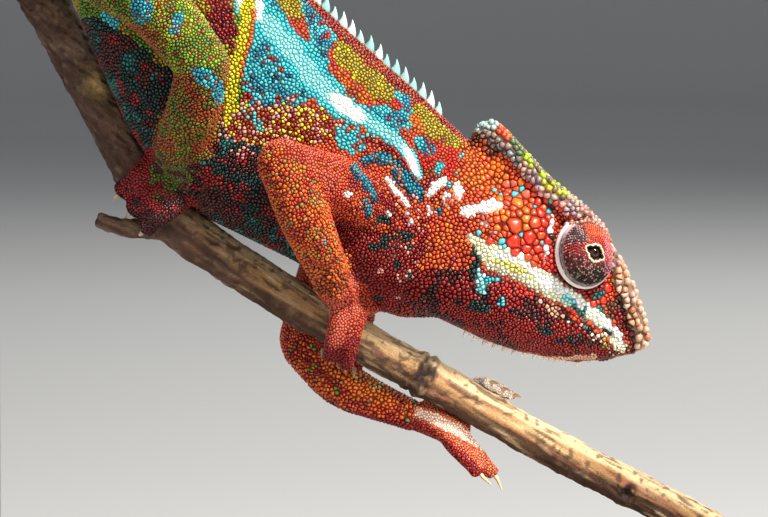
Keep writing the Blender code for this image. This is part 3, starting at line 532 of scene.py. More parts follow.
class Markings:
    """The colours of one surface's places, laid on in order."""

    SOFT = 0.14  # the soft edge of a marking, as a share of its half width

    def __init__(self, places, part, seed, crisp):
        self.places, self.part, self.crisp = places, part, crisp
        self.drawing = drawing_of(places, part)
        self.across, self.up = self.drawing.T
        self.random = np.random.default_rng(seed)
        self.tint = np.tile(ORANGE_RED, (len(places), 1))
        self.ragged = mottle(places, 1.5, 4) - 0.5

    def of(self, *names):
        """1 on the body parts whose names start with one of these, and 0 elsewhere."""
        numbers = [PARTS[n] for n in FLESH for name in names if n.startswith(name)]
        return np.isin(self.part, numbers).astype(float)

    def inside(self, distance, ragged=0.5):
        """How far a place is inside a band or a spot whose edge is at distance 1."""
        return np.clip((1.0 + self.SOFT - distance - ragged * self.ragged) / (2.0 * self.SOFT), 0.0, 1.0)

    def in_band(self, *rows, ragged=0.5):
        """How far places are inside a band. Its rows are along, up and half width."""
        return self.inside(stroke(self.drawing, rows), ragged)

    def in_spot(self, *row, ragged=0.5):
        """How far places are inside an oval: along, up, half length, and maybe half width and turn."""
        return self.inside(spot(self.drawing, *row), ragged)

    def in_spots(self, rows):
        """How far places are inside any of several ovals."""
        return self.inside(np.min([spot(self.drawing, *row) for row in rows], axis=0))

    def lay(self, colour, share, speckle=0.3):
        """Lays a colour over each place. On crisp scales it is all or nothing, unless speckle is None."""
        share = np.asarray(share, float) * np.ones(len(self.places))
        if self.crisp and speckle is not None:
            edge = 0.5 + speckle * (self.random.random(len(share)) - 0.5)
            share = (share > np.clip(edge, 0.05, 0.95)).astype(float)
        self.tint = self.tint + (np.array(colour) - self.tint) * share[:, None]

    def band(self, colour, rows, where=1.0, ragged=0.5, speckle=0.3):
        """Lays a colour along one band."""
        self.lay(colour, self.in_band(*rows, ragged=ragged) * where, speckle)

    def spots(self, colour, rows, where=1.0, ragged=0.4):
        """Lays a colour on ovals, one after another."""
        for row in rows:
            self.lay(colour, self.in_spot(*row, ragged=ragged) * where)

    def patches(self, colour, size, share, seed, where=1.0, soft=0.08, speckle=0.3):
        """Lays a colour on random patches of this size that take up this share of the surface."""
        level = mottle(self.places, size, seed) * 0.65 + mottle(self.places, size * 0.45, seed + 50) * 0.35
        self.lay(colour, smooth_rise(-soft, soft, level - (0.5 + (0.5 - share) * 0.62)) * where, speckle)

    def beads(self, colour, share, where=1.0):
        """Turns this share of the scales to a colour, one by one."""
        if self.crisp:
            self.lay(colour, (self.random.random(len(self.places)) < share) * where)


# Lines of the side drawing: along and up in mm, and a half width where the line is a band.
CREST_LINE = (
    (-74.0, 158.5), (-62.0, 166.0), (-55.0, 171.5), (-48.0, 172.0), (-40.0, 169.2), (-30.0, 165.0),
    (-20.0, 158.6), (-10.0, 150.4), (0.0, 139.6), (8.0, 131.8), (16.0, 125.0), (23.0, 118.6), (26.0, 116.0),
)
STRIPE = (
    (-74.0, 152.0, 0.9), (-56.0, 157.5, 1.6), (-40.0, 155.0, 2.2), (-27.0, 148.6, 2.9), (-17.5, 142.4, 3.3),
    (-9.5, 134.4, 3.4), (-4.6, 128.0, 3.3), (0.6, 122.6, 2.6), (6.0, 119.3, 1.9), (11.0, 116.2, 1.45),
    (14.4, 113.2, 1.25), (15.8, 110.6, 0.95), (16.8, 108.0, 0.5),
)
YELLOW_LINE = (
    (-16.9, 144.6, 1.1), (-17.6, 141.0, 1.5), (-17.8, 137.6, 1.4), (-19.0, 133.0, 1.3),
    (-20.2, 128.0, 1.3), (-21.2, 122.4, 1.3), (-21.8, 118.6, 0.7),
)
LIP_STRIPE = (
    (26.8, 96.4, 0.7), (29.2, 94.0, 1.8), (32.0, 92.0, 2.6), (36.0, 90.2, 2.4), (40.0, 88.0, 2.0),
    (44.0, 85.7, 2.0), (47.6, 83.4, 1.6), (51.0, 80.9, 1.6), (54.0, 78.6, 1.5), (56.2, 76.2, 1.5),
    (57.0, 74.6, 1.2),
)
# Large plates of the temple and the face, each in its own place: along, up, half width and colour.
TEMPLE_PLATES = (
    (36.5, 102.9, 1.30, ORANGE), (37.8, 104.7, 0.95, SALMON), (37.9, 101.5, 0.90, ORANGE),
    (35.6, 98.6, 1.65, ORANGE_RED), (38.0, 99.8, 0.80, ORANGE), (40.0, 98.9, 1.35, ORANGE_RED),
    (38.0, 98.2, 0.70, ORANGE), (35.5, 95.2, 1.50, HOT_RED), (38.8, 95.9, 1.35, HOT_RED),
    (41.0, 101.2, 0.90, HOT_RED), (40.1, 103.4, 1.00, HOT_RED), (35.7, 93.1, 1.00, HOT_RED),
    (38.0, 93.7, 0.85, HOT_RED), (31.0, 95.7, 0.90, HOT_RED), (33.7, 96.8, 0.75, ORANGE_RED),
    (34.5, 100.6, 0.70, ORANGE), (34.3, 103.6, 0.70, ORANGE_RED), (38.5, 106.6, 0.75, HOT_RED),
    (35.7, 107.0, 0.80, SALMON), (34.0, 106.6, 0.90, SALMON), (37.2, 107.3, 0.70, ORANGE),
    (41.0, 96.7, 0.80, ORANGE_RED), (40.6, 93.8, 0.75, HOT_RED), (35.8, 104.9, 0.75, CYAN),
    (37.2, 105.9, 0.50, CYAN), (32.9, 95.2, 0.70, TURQUOISE), (33.7, 94.3, 0.45, TURQUOISE),
    (28.6, 96.9, 0.50, TURQUOISE), (42.4, 101.6, 0.50, TURQUOISE), (39.8, 102.3, 0.42, TURQUOISE),
    (37.2, 96.6, 0.42, TURQUOISE), (41.2, 94.9, 0.45, GREY), (40.7, 104.8, 0.60, PINK),
    (32.0, 105.4, 0.52, TURQUOISE), (33.1, 104.7, 0.42, TURQUOISE), (43.0, 103.3, 0.50, TURQUOISE),
    (54.4, 88.6, 0.75, HOT_RED), (54.6, 86.0, 0.95, HOT_RED), (53.6, 83.4, 0.85, HOT_RED),
    (51.6, 83.2, 0.70, HOT_RED), (55.6, 87.6, 0.55, OLIVE), (38.2, 84.9, 0.62, HOT_RED),
    (47.9, 81.2, 0.70, HOT_RED), (46.3, 82.0, 0.60, HOT_RED), (40.8, 83.3, 0.50, PINK),
)
# Ridges of the head in space, in mm ahead of the mouth's tip, above it and aside: across the brow,
# down the snout, and from the brow to the casque's tip.
MOUTH_TIP, MOUTH_PITCH = np.array((58.4, 0.0, 73.9)), math.radians(32.0)
HEAD_FORWARD = np.array((math.cos(MOUTH_PITCH), 0.0, -math.sin(MOUTH_PITCH)))
HEAD_UP = np.array((math.sin(MOUTH_PITCH), 0.0, math.cos(MOUTH_PITCH)))
BROW_RIDGE = ((-25.5, 18.8, 9.6), (-21.0, 18.8, 9.0), (-15.5, 16.0, 7.6), (-9.0, 12.6, 6.2))
SNOUT_RIDGE = ((-9.0, 12.6, 6.2), (-3.0, 8.0, 4.6), (2.4, 3.0, 2.2))
CASQUE_RIDGE = ((-25.0, 19.0, 9.8), (-32.0, 20.0, 8.6), (-40.0, 22.4, 6.0), (-48.6, 23.6, 1.8))


def ridge_distance(places, rows):
    """Distance in mm from a ridge of the head, and how far along it, from 0 to 1."""
    mirrored = places * (1.0, 0.0, 1.0) + np.abs(places) * (0.0, 1.0, 0.0)
    line = np.array([MOUTH_TIP + HEAD_FORWARD * s + HEAD_UP * t + (0.0, y, 0.0) for s, t, y in rows])
    nearest, along = np.full(len(places), FAR), np.zeros(len(places))
    for step, (start, end) in enumerate(zip(line, line[1:])):
        run = end - start
        share = np.clip((mirrored - start) @ run / (run @ run), 0.0, 1.0)
        gap = np.linalg.norm(mirrored - start - share[:, None] * run, axis=1)
        along = np.where(gap < nearest, (step + share) / (len(line) - 1), along)
        nearest = np.minimum(nearest, gap)
    return nearest, along


def height_over_stripe(drawing):
    """How far above the white stripe of the flank a place lies on the drawing, in mm."""
    u, w, _ = zip(*STRIPE)
    return drawing[:, 1] - np.interp(drawing[:, 0], u, w)


def crest_distance(drawing):
    """Distance in mm from the foot of the back's spines on the drawing."""
    return stroke(drawing, [(*row, 1.0) for row in CREST_LINE])


def colour_back(m, body, over):
    """Green behind the shoulder with turquoise bars, and a rust back with olive, red and blue patches."""
    u, w = m.across, m.up
    hind = body * (1.0 - smooth_rise(-5.0, 1.0, u))
    slant = math.radians(36.0)
    back_along = -(u - 8.0) * math.cos(slant) + (w - 120.0) * math.sin(slant)
    m.lay(GREEN, hind)
    m.patches(OLIVE, 5.0, 0.45, 11, hind)
    bars = np.sin(back_along * 2.0 * math.pi / 13.0 + 2.0 * m.ragged + 0.9)
    behind = smooth_rise(-17.0, -20.0, u) * body
    m.lay(TURQUOISE, smooth_rise(0.15, 0.45, bars) * behind * (w > 128.0), 0.4)
    m.patches(CRIMSON, 1.5, 0.16, 12, hind)
    # The back over the stripe, from the shoulder to the nape.
    back = body * (over > 0.0) * (u > -22.0)
    m.lay(RUST, back)
    m.patches(ORANGE_RED, 3.0, 0.4, 13, back)
    olives = ((-9.0, 142.6, 4.4, 3.0, -40.0), (2.6, 131.6, 4.2, 2.6, -50.0), (8.6, 126.8, 5.0, 3.4, -38.0),
              (18.6, 119.6, 4.4, 3.0, -38.0), (23.4, 116.8, 3.6, 2.2, -35.0))
    m.spots(OLIVE, olives, body, 0.7)
    yellows = m.in_band((-1.0, 134.0, 2.2), (9.0, 126.4, 2.4), (24.6, 116.0, 1.4))
    m.patches(YELLOW, 1.4, 0.2, 14, back * (u < 25.0) * (u > -4.0) * yellows)
    oranges = ((6.4, 122.8, 3.0, 1.4, -50.0), (1.6, 127.6, 2.4, 0.8, -60.0), (16.4, 118.6, 2.2, 1.0, -60.0))
    m.spots(ORANGE, oranges, body)
    reds = ((-8.4, 137.0, 4.6, 1.1, -52.0), (7.0, 121.6, 1.4), (18.4, 112.6, 3.0, 2.0, 60.0),
            (22.6, 110.6, 3.0, 1.5, 70.0), (-0.2, 130.4, 1.6, 0.5, -60.0))
    m.spots(HOT_RED, reds, body)
    blues = ((-3.4, 138.6, 6.4, 2.3, -66.0), (-3.4, 130.8, 4.4, 1.9, -62.0), (10.2, 120.0, 4.6, 1.9, -22.0),
             (13.4, 123.8, 2.8, 1.5, -70.0), (17.6, 114.4, 2.2, 1.5, -30.0), (-11.8, 140.6, 4.0, 1.5, -58.0),
             (5.2, 118.4, 1.4))
    in_blues = m.in_spots(blues) * body
    m.spots(TURQUOISE, blues, body, 0.8)
    m.patches(BLUE, 2.0, 0.5, 15, in_blues)
    m.spots(HOT_RED, ((12.0, 122.8, 1.3, 0.8, -40.0), (-4.8, 139.4, 0.8), (-2.0, 136.4, 0.8)), body)
    m.patches(paint(30, 92, 116), 1.3, 0.3, 28, in_blues)
    m.patches(CRIMSON, 1.1, 0.16, 16, in_blues)
    # The dark red foot of the spines.
    crest = crest_distance(m.drawing)
    spine_foot = np.interp(u, (10.0, 18.0), (2.0, 0.9))
    m.lay(DEEP_RED, m.inside(crest / spine_foot, 0.35) * body)
    m.patches(RUST, 1.6, 0.5, 17, m.inside(crest / (spine_foot + 0.2), 0.3) * body)


def colour_flank(m, body):
    """The turquoise flank in front of the yellow line, and the beaded armpit and chest under it."""
    u, w = m.across, m.up
    outline = ((-19.5, 137.0), (-13.0, 142.0), (-5.6, 131.0), (-1.0, 124.4), (-6.0, 121.8), (-18.4, 122.2))
    inside = np.ones(len(u), bool)
    for (u0, w0), (u1, w1) in zip(outline, outline[1:] + outline[:1]):
        inside &= (u1 - u0) * (w + 0.9 * m.ragged - w0) - (w1 - w0) * (u + 0.9 * m.ragged - u0) < 0
    flank = inside * body
    m.lay(TURQUOISE, flank)
    m.patches(BLUE, 1.8, 0.38, 18, flank)
    m.patches(NAVY, 1.1, 0.16, 19, flank)
    m.patches(CRIMSON, 1.0, 0.13, 20, flank)
    reds = ((-10.8, 129.6, 0.8), (-12.6, 131.4, 0.9, 0.6), (-11.6, 123.6, 0.7), (-17.6, 123.8, 0.8))
    m.spots(CRIMSON, reds, body)
    m.spots(NAVY, ((-9.2, 128.2, 0.6), (-12.2, 128.0, 0.6)), body)
    pit = m.in_band((-20.0, 118.2, 4.4), (-10.0, 118.2, 4.6), (0.0, 119.0, 3.6), (2.6, 119.4, 2.0)) * body
    m.lay(RUST, pit * (1.0 - inside))
    m.beads(YELLOW, 0.34, pit * (u < 0.0))
    m.beads(PINK, 0.26, pit)
    m.beads(CRIMSON, 0.22, pit)
    m.beads(TURQUOISE, 0.6, pit * m.in_spot(-16.4, 119.6, 2.8, 1.4, -50.0))
    m.lay(ORANGE_RED, m.in_spot(-3.0, 123.0, 3.4, 0.9, 10.0) * body)


def colour_neck(m, body, over):
    """The red neck below the stripe, with blue folds, dark spots, and a belly behind it in teal and red, made
    dark by painted shade.
    """
    u, w = m.across, m.up
    neck = body * smooth_rise(1.0, 4.0, u) * (over < 0.0)
    m.lay(ORANGE_RED, neck)
    m.patches(CRIMSON, 2.6, 0.46, 21, neck * (w < 108.0))
    m.patches(DEEP_RED, 1.8, 0.3, 22, neck)
    m.spots(TURQUOISE, ((3.4, 115.6, 3.4, 2.6, -30.0), (7.2, 115.6, 3.0, 1.0, -25.0)), body, 0.9)
    m.patches(CRIMSON, 1.2, 0.3, 23, m.in_spot(4.6, 115.6, 4.6, 3.0, -30.0) * body)
    m.band(DEEP_RED, ((6.0, 115.8, 0.8), (10.0, 114.0, 0.9), (13.0, 111.4, 0.8), (15.2, 107.6, 0.5)), body)
    blue_folds = (
        ((5.4, 111.2, 0.7), (8.4, 112.2, 1.0), (11.4, 110.8, 1.5), (13.8, 107.6, 1.8), (16.6, 104.6, 1.3)),
        ((3.6, 109.8, 0.8), (6.0, 106.6, 1.0), (7.6, 103.4, 0.6)),
        ((20.4, 101.4, 0.7), (22.0, 99.2, 0.8), (23.8, 97.4, 0.6)),
        ((19.6, 93.6, 0.9), (21.0, 91.2, 0.9), (22.2, 89.2, 0.7)),
        ((5.6, 103.2, 0.7), (6.8, 100.8, 0.8)),
    )
    for rows in blue_folds:
        m.band(NAVY, rows, body, 0.7)
        m.band(BLUE, [(a + 0.25, b + 0.5, c * 0.62) for a, b, c in rows], body, 0.9, 0.9)
    dark_spots = ((9.4, 99.8, 1.6, 0.9), (13.6, 96.6, 2.0, 1.0), (5.0, 92.8, 1.6, 0.8), (8.6, 96.2, 2.0, 0.7),
                  (14.0, 91.6, 2.6, 0.7, -15.0), (15.2, 87.8, 2.2, 0.6, -15.0), (3.2, 95.6, 1.2, 0.8))
    m.spots(DARK_TEAL, dark_spots, body, 0.9)
    under = body * smooth_rise(99.0, 95.0, w + 0.35 * (u - 10.0)) * (u > -3.0)
    m.lay(DEEP_RED, under * 0.9)
    m.patches(DARK_TEAL, 2.2, 0.2, 24, under)
    m.beads(PINK, 0.10, neck * (w < 105.0) * (u > 12.0))
    m.beads(ORANGE, 0.12, neck * (w > 96.0))
    # The belly behind the arm: its own teal and red, painted dark as painted shade.
    edge_along = (-62.0, -48.0, -34.0, -26.0, -20.0, -12.0, -3.0)
    edge_up = (140.0, 140.0, 131.0, 122.0, 115.0, 113.6, 110.0)
    belly = body * (w < np.interp(u, edge_along, edge_up)) * (u < -1.0)
    m.lay(DARK_TEAL, belly)
    m.patches(TEAL, 3.0, 0.3, 25, belly)
    m.patches(MAROON, 4.0, 0.45, 26, belly)
    m.patches(DEEP_RED, 2.4, 0.22, 27, belly)
    m.beads(PINK, 0.16, belly * (w > np.interp(u, (-26.0, -12.0), (115.0, 109.0))) * (u > -24.0))


def colour_stripes(m, body, over):
    """The white and turquoise stripe, the yellow line and the white streaks, which lie over the rest."""
    u, w = m.across, m.up
    m.band(CYAN, STRIPE, body, 0.55)
    m.band(ICE, [(a, b, c * (0.30 if a < -12.0 else 0.6)) for a, b, c in STRIPE], body, 0.8)
    whites = ((-17.2, 142.4, 4.0, 2.2, -45.0), (2.6, 121.6, 4.4, 1.5, -36.0), (15.2, 111.0, 3.6, 0.9, -64.0))
    m.spots(WHITE, whites, body)
    # Olive, and a crimson patch, behind the yellow line.
    low = (over < 2.0) * body
    edge = smooth_rise(-19.2, -21.0, u) * smooth_rise(-38.0, -34.0, u + m.ragged * 3)
    m.lay(OLIVE, edge * (w > 130.0) * low)
    m.beads(RUST, 0.30, (u < -20.0) * (u > -36.0) * (w > 128.0) * low)
    red_patch = m.in_spot(-22.4, 138.6, 2.6, 5.6, 12.0, ragged=0.7) * (u < -19.4) * body
    m.lay(CRIMSON, red_patch)
    m.beads(MAROON, 0.35, red_patch)
    m.band(YELLOW, YELLOW_LINE, body, 0.4)
    m.band(ORANGE, [(a + 1.3, b, c * 0.34) for a, b, c in YELLOW_LINE[1:5]], body, 0.7, 0.9)
    m.band(WHITE, ((10.4, 107.8, 0.5), (12.2, 105.4, 0.75), (14.4, 102.8, 0.55)), body, 0.3)
    m.band(WHITE, ((18.7, 104.8, 0.6), (20.0, 106.3, 1.0), (21.6, 107.4, 0.6)), 1.0, 0.4)
    flecks = ((22.5, 103.2, 0.9, 2.0, 8.0), (24.3, 105.3, 0.9, 0.7), (18.7, 101.6, 0.45, 1.0),
              (0.1, 106.8, 0.55), (2.4, 104.6, 0.8, 0.5), (10.4, 101.0, 0.8, 0.35, -40.0),
              (14.2, 101.0, 0.5), (15.2, 99.5, 0.35, 0.8))
    m.spots(WHITE, flecks)
    m.spots(PINK, ((9.0, 89.6, 0.6), (14.6, 89.4, 0.4), (14.2, 88.4, 0.5)))
    drops = ((20.8, 110.0, 0.8, 1.6, -20.0), (24.6, 109.2, 0.4, 1.4, -20.0), (27.2, 111.2, 0.6),
             (25.2, 112.0, 0.5, 1.0), (22.4, 106.6, 0.6, 0.5), (20.4, 100.6, 0.5))
    m.spots(TURQUOISE, drops, 1.0, 0.6)


def colour_cheek(m, head):
    """The orange head, red behind the eye and under it, with dark and white spots on the cheek."""
    u, w = m.across, m.up
    m.lay(ORANGE, head * smooth_rise(104.0, 110.0, w + 2 * m.ragged) * 0.95)
    m.patches(ORANGE_RED, 2.0, 0.5, 31, head)
    m.patches(CRIMSON, 1.3, 0.2, 32, head * (u < 34.0) * (w < 100.0))
    m.beads(ORANGE, 0.25, head * (u < 34.0))
    # The umber patch under the casque's tip is painted shade.
    m.spots(UMBER, ((28.6, 115.4, 2.6, 1.7, -20.0), (31.4, 113.4, 1.2)), head, 0.8)
    m.patches(RUST, 1.4, 0.5, 33, m.in_spot(29.4, 115.0, 3.6, 2.2) * head)
    m.lay(HOT_RED, m.in_band((42.6, 101.0, 1.2), (42.4, 92.0, 1.6), (45.0, 87.6, 1.6)) * head)
    m.band(DEEP_RED, ((44.0, 87.6, 1.4), (48.6, 86.4, 1.8), (52.0, 86.2, 1.6)), head)
    m.band(CRIMSON, ((47.6, 85.4, 0.8), (51.0, 85.8, 1.0)), head)
    m.spots(TEAL, ((52.7, 84.7, 1.3, 0.9, 30.0), (53.0, 81.6, 0.9)), head)
    # Umber and dark red between the snout's knobs and the lip, and round the nostril, are painted shade under
    # the snout's ridge.
    m.spots(UMBER, ((55.6, 82.6, 1.5, 1.1), (54.6, 80.6, 1.0)), head)
    m.spots(DEEP_RED, ((56.8, 80.4, 1.2, 1.8, 20.0), (57.4, 77.4, 0.9, 2.4, 24.0)), head)
    m.spots(ORANGE, ((53.0, 80.4, 1.2, 0.5, -35.0),), head)
    streaks = ((43.2, 98.8, 0.35, 1.8, -8.0), (42.2, 93.8, 0.3, 1.4), (41.8, 91.6, 0.3, 0.9),
               (43.6, 103.0, 0.9, 0.5, -40.0))
    m.spots(WHITE, streaks, head)
    m.spots(SOOT, ((43.4, 95.8, 0.4, 1.2), (44.2, 102.6, 1.2, 0.35, 30.0)), head)
    whites = ((31.0, 102.3, 2.5, 1.6, 6.0), (27.4, 101.6, 2.3, 1.1, 12.0), (24.6, 105.2, 0.9, 1.8, 10.0))
    m.spots(WHITE, whites, 1.0, 0.5)
    m.spots(PINK, ((29.9, 99.0, 1.0, 0.8), (31.6, 97.2, 0.5)), head, 0.9)


def colour_jaw(m, head, jaw):
    """The dark red jaw and throat, speckled chin, and the pale lip stripe with its yellow streak."""
    u, w = m.across, m.up
    off_lip = smooth_rise(2.4, 3.2, stroke(m.drawing, [(a, b, 1.0) for a, b, _ in LIP_STRIPE]))
    below = np.maximum(jaw, head * off_lip * (w < np.interp(u, (26.0, 40.0, 57.0), (90.0, 86.0, 74.6))))
    m.lay(DEEP_RED, below)
    m.patches(MAROON, 2.6, 0.42, 34, below)
    m.patches(SOOT, 2.0, 0.16, 35, below)
    m.beads(CRIMSON, 0.18, below)
    darks = ((28.4, 82.4, 2.4, 1.0, -15.0), (38.8, 86.4, 2.6, 1.0, -24.0), (33.4, 83.2, 1.2, 1.1),
             (42.0, 77.6, 1.4, 0.9))
    m.spots(DARK_TEAL, darks, below, 0.9)
    m.beads(TURQUOISE, 0.7, below * m.in_spot(33.2, 83.4, 1.2, 1.0))
    m.beads(HOT_RED, 0.5, below * m.in_band((31.0, 86.6, 1.6), (38.0, 85.4, 1.4), (42.0, 83.6, 0.8)))
    m.beads(TAN, 0.6, below * m.in_spot(43.8, 81.8, 1.9, 1.5, -40.0))
    speckled = below * m.in_band((47.0, 80.6, 1.2), (51.0, 78.2, 2.0), (54.4, 76.2, 1.4))
    m.beads(PINK, 0.24, speckled)
    m.beads(CREAM, 0.22, speckled)
    m.beads(TEAL, 0.10, speckled)
    chin = below * m.in_band((54.0, 75.4, 1.2), (57.6, 73.2, 1.6))
    m.beads(TAN, 0.4, chin)
    m.beads(OLIVE, 0.25, chin)
    m.band(TAN, ((37.0, 73.2, 0.35), (43.0, 72.0, 0.45), (52.0, 72.4, 0.45)), jaw, 0.8, 0.9)
    # Lip stripe with its yellow streak and its green break, and the patch behind the mouth.
    lips = np.maximum(head, jaw)
    m.band(CREAM, LIP_STRIPE, lips, 0.4)
    m.band(WHITE, [(a + 0.2, b + 0.5, c * 0.5) for a, b, c in LIP_STRIPE[2:]], lips, 0.7)
    m.band(paint(246, 236, 120), ((31.4, 91.7, 0.4), (35.4, 90.3, 0.75), (39.6, 88.4, 0.4)), lips, 0.5)
    m.band(ICE, ((45.6, 84.3, 0.6), (47.4, 83.4, 0.8)), lips, 0.6)
    m.band(TEAL, ((47.4, 82.4, 0.4), (49.4, 81.0, 0.6), (50.0, 82.4, 0.3)), lips, 0.5)
    # The near-black line along the mouth's slit is painted shade.
    m.band(SOOT, ((53.2, 78.0, 0.3), (54.8, 77.0, 0.35)), lips, 0.5)
    m.band(ICE, ((28.0, 89.6, 0.7), (28.7, 87.6, 1.2), (29.4, 85.8, 0.8)), 1.0, 0.6)
    m.beads(WHITE, 0.4, m.in_spot(28.8, 87.6, 1.2, 1.8, 20.0))
    m.band(TURQUOISE, ((30.2, 87.9, 0.6), (32.4, 88.0, 0.5), (34.0, 87.4, 0.3)), lips, 0.8, 1.4)
    for gap in (0.0, 1.3):
        m.band(DARK_TEAL, ((27.2, 94.2, 0.4), (28.2, 91.8, 0.7), (27.4, 89.8 - gap, 0.6)), 1.0, 1.2, 1.2)


def colour_ridges(m, head):
    """The pink and grey knobs of the casque, brow and snout, and the yellow-green crown over them."""
    ahead, rise = (m.places - MOUTH_TIP) @ HEAD_FORWARD, (m.places - MOUTH_TIP) @ HEAD_UP
    ridge = np.interp(-ahead, [-row[0] for row in CASQUE_RIDGE], [row[1] for row in CASQUE_RIDGE])
    over = rise - ridge + 0.5 * m.ragged
    loose = ahead + 3.0 * m.ragged
    crown = head * (over > -0.5) * smooth_rise(-43.5, -41.5, loose)
    crown = crown * smooth_rise(-18.5, -21.5, ahead + 5.0 * m.ragged)
    m.lay(paint(126, 116, 108), crown)
    m.lay(paint(92, 132, 84), crown * smooth_rise(-22.0, -25.0, loose))
    behind = smooth_rise(-40.5, -38.0, ahead + 2.0 * m.ragged)
    m.lay(LIME, crown * behind * smooth_rise(-23.5, -25.5, loose))
    m.patches(YELLOW, 1.6, 0.40, 36, crown * (ahead > -37.0) * (ahead < -25.0))
    middle_of_crown = crown * smooth_rise(6.6, 4.4, np.abs(m.places[:, 1]) + 3.0 * m.ragged)
    m.patches(paint(96, 138, 70), 2.4, 0.6, 45, middle_of_crown)
    m.patches(RUST, 1.8, 0.38, 46, middle_of_crown)
    m.patches(TEAL, 1.4, 0.22, 47, middle_of_crown)
    m.beads(paint(120, 96, 84), 0.22, crown)
    knobs = head * (over > -2.7) * (over < -0.5) * (ahead < -24.0) * (ahead > -50.0)
    tip = smooth_rise(-36.0, -42.0, ahead)
    m.lay(paint(210, 166, 148), knobs)
    m.patches(paint(226, 178, 160), 1.6, 0.45, 37, knobs)
    m.patches(MAUVE, 1.8, 0.35, 38, knobs)
    m.lay(paint(150, 128, 116), knobs * tip)
    m.patches(GREY, 1.5, 0.5, 39, knobs * tip)
    m.beads(HOT_RED, 0.2, knobs * (ahead > -33.0))
    brow_colours = (paint(206, 160, 142), MAUVE, PINK)
    snout_colours = (paint(222, 176, 146), paint(232, 190, 170), TAN)
    for rows, reach, colours in ((BROW_RIDGE, 1.9, brow_colours), (SNOUT_RIDGE, 2.6, snout_colours)):
        gap, along = ridge_distance(m.places, rows)
        near = head * smooth_rise(reach + 0.25, reach - 0.25, gap)
        m.lay(colours[0], near)
        for number, colour in enumerate(colours[1:], 1):
            m.patches(colour, 1.4, 0.35, 40 + number, near)
    m.patches(paint(190, 116, 76), 1.6, 0.3, 44, head * (gap < 2.5) * (along > 0.35))
    # A maroon line beside the snout's knobs, where they stand over the face, is painted shade.
    m.lay(MAROON, head * (gap > 2.5) * (gap < 3.3) * (along > 0.2) * (m.up < 88.0) * 0.85)
    m.lay(paint(176, 206, 200), head * m.in_band((26.2, 117.4, 0.8), (31.6, 119.2, 1.1)))


def colour_arms(m):
    """Arms are orange with yellow and crimson beads; the far hand opens on a pale palm and toes."""
    u, w = m.across, m.up
    m.lay(paint(208, 58, 26), m.of("upper_arm", "forearm", "hand"))
    upper = m.of("upper_arm")
    m.patches(SALMON, 2.4, 0.45, 51, upper, 0.3, None)
    m.beads(CRIMSON, 0.10, upper)
    m.beads(ORANGE, 0.16, upper)
    fore, near_fore, far_fore = m.of("forearm"), m.of("forearm_right"), m.of("forearm_left")
    m.patches(ORANGE, 2.2, 0.42, 52, fore, 0.3, None)
    m.beads(ORANGE, 0.22, fore)
    m.beads(CRIMSON, 0.14, fore)
    m.beads(paint(186, 142, 52), 0.10, fore * (w > 88.0))
    m.beads(paint(110, 128, 70), 0.06, fore)
    m.beads(TURQUOISE, 0.5, near_fore * m.in_spot(-2.0, 95.6, 1.6, 0.7, 70.0))
    for rows in (((-9.0, 74.0, 1.2), (0.0, 66.0, 1.5)), ((-4.0, 71.0, 1.2), (6.0, 66.6, 1.5))):
        band = m.in_band(*rows) * far_fore
        m.beads(GREEN, 0.22, band)
        m.beads(CRIMSON, 0.4, band)
    m.lay(ORANGE, far_fore * m.in_spot(4.0, 68.0, 8.0, 2.6, -33.0, ragged=0.3), None)
    # Pale yellow beads along the middle of the far forearm are a painted highlight.
    m.beads(paint(236, 196, 92), 0.35, far_fore * m.in_spot(5.5, 68.4, 4.6, 1.6, -38.0))
    # Crimson along its lower side is painted shade.
    under = smooth_rise(1.0, -1.2, w - np.interp(u, (-10.0, 0.0, 8.0, 16.0), (69.6, 62.6, 60.4, 59.0)))
    m.lay(CRIMSON, far_fore * under * 0.8)
    wrist = near_fore * (w < 90.5)
    m.lay(RUST, wrist * 0.8)
    m.beads(ORANGE, 0.4, wrist)
    hand = m.of("hand_right")
    m.lay(ORANGE_RED, hand)
    m.patches(SALMON, 1.6, 0.4, 53, hand * (w > 80.0))
    m.lay(CRIMSON, hand * smooth_rise(79.0, 74.5, w + m.ragged * 2.0) * 0.85)
    m.beads(CRIMSON, 0.18, hand)
    # A salmon band down the back of the near hand is a painted highlight.
    back_of_hand = stroke(m.drawing, ((-0.6, 86.0, 1.0), (1.4, 80.0, 1.0), (0.0, 76.0, 1.0)))
    m.lay(SALMON, hand * smooth_rise(3.0, 0.0, back_of_hand), None)
    open_hand = m.of("hand_left")
    m.lay(paint(214, 104, 62), open_hand)
    under = smooth_rise(0.6, -0.8, w - np.interp(u, (15.0, 22.0, 26.5, 32.0), (60.6, 56.0, 53.0, 47.0)))
    m.lay(CRIMSON, open_hand * under)
    m.beads(ORANGE_RED, 0.3, open_hand)
    palm = m.in_band((15.6, 61.6, 0.9), (23.0, 58.2, 1.2), (29.6, 54.0, 0.6))
    m.lay(paint(242, 202, 178), open_hand * palm, 0.15)
    toes = open_hand * smooth_rise(24.4, 28.6, u + 3.0 * m.ragged) * (w > 59.5)
    m.beads(PINK, 0.4, open_hand * smooth_rise(22.0, 26.0, u + 3.0 * m.ragged) * (w > 59.5))
    m.lay(paint(255, 232, 214), toes, 0.8)


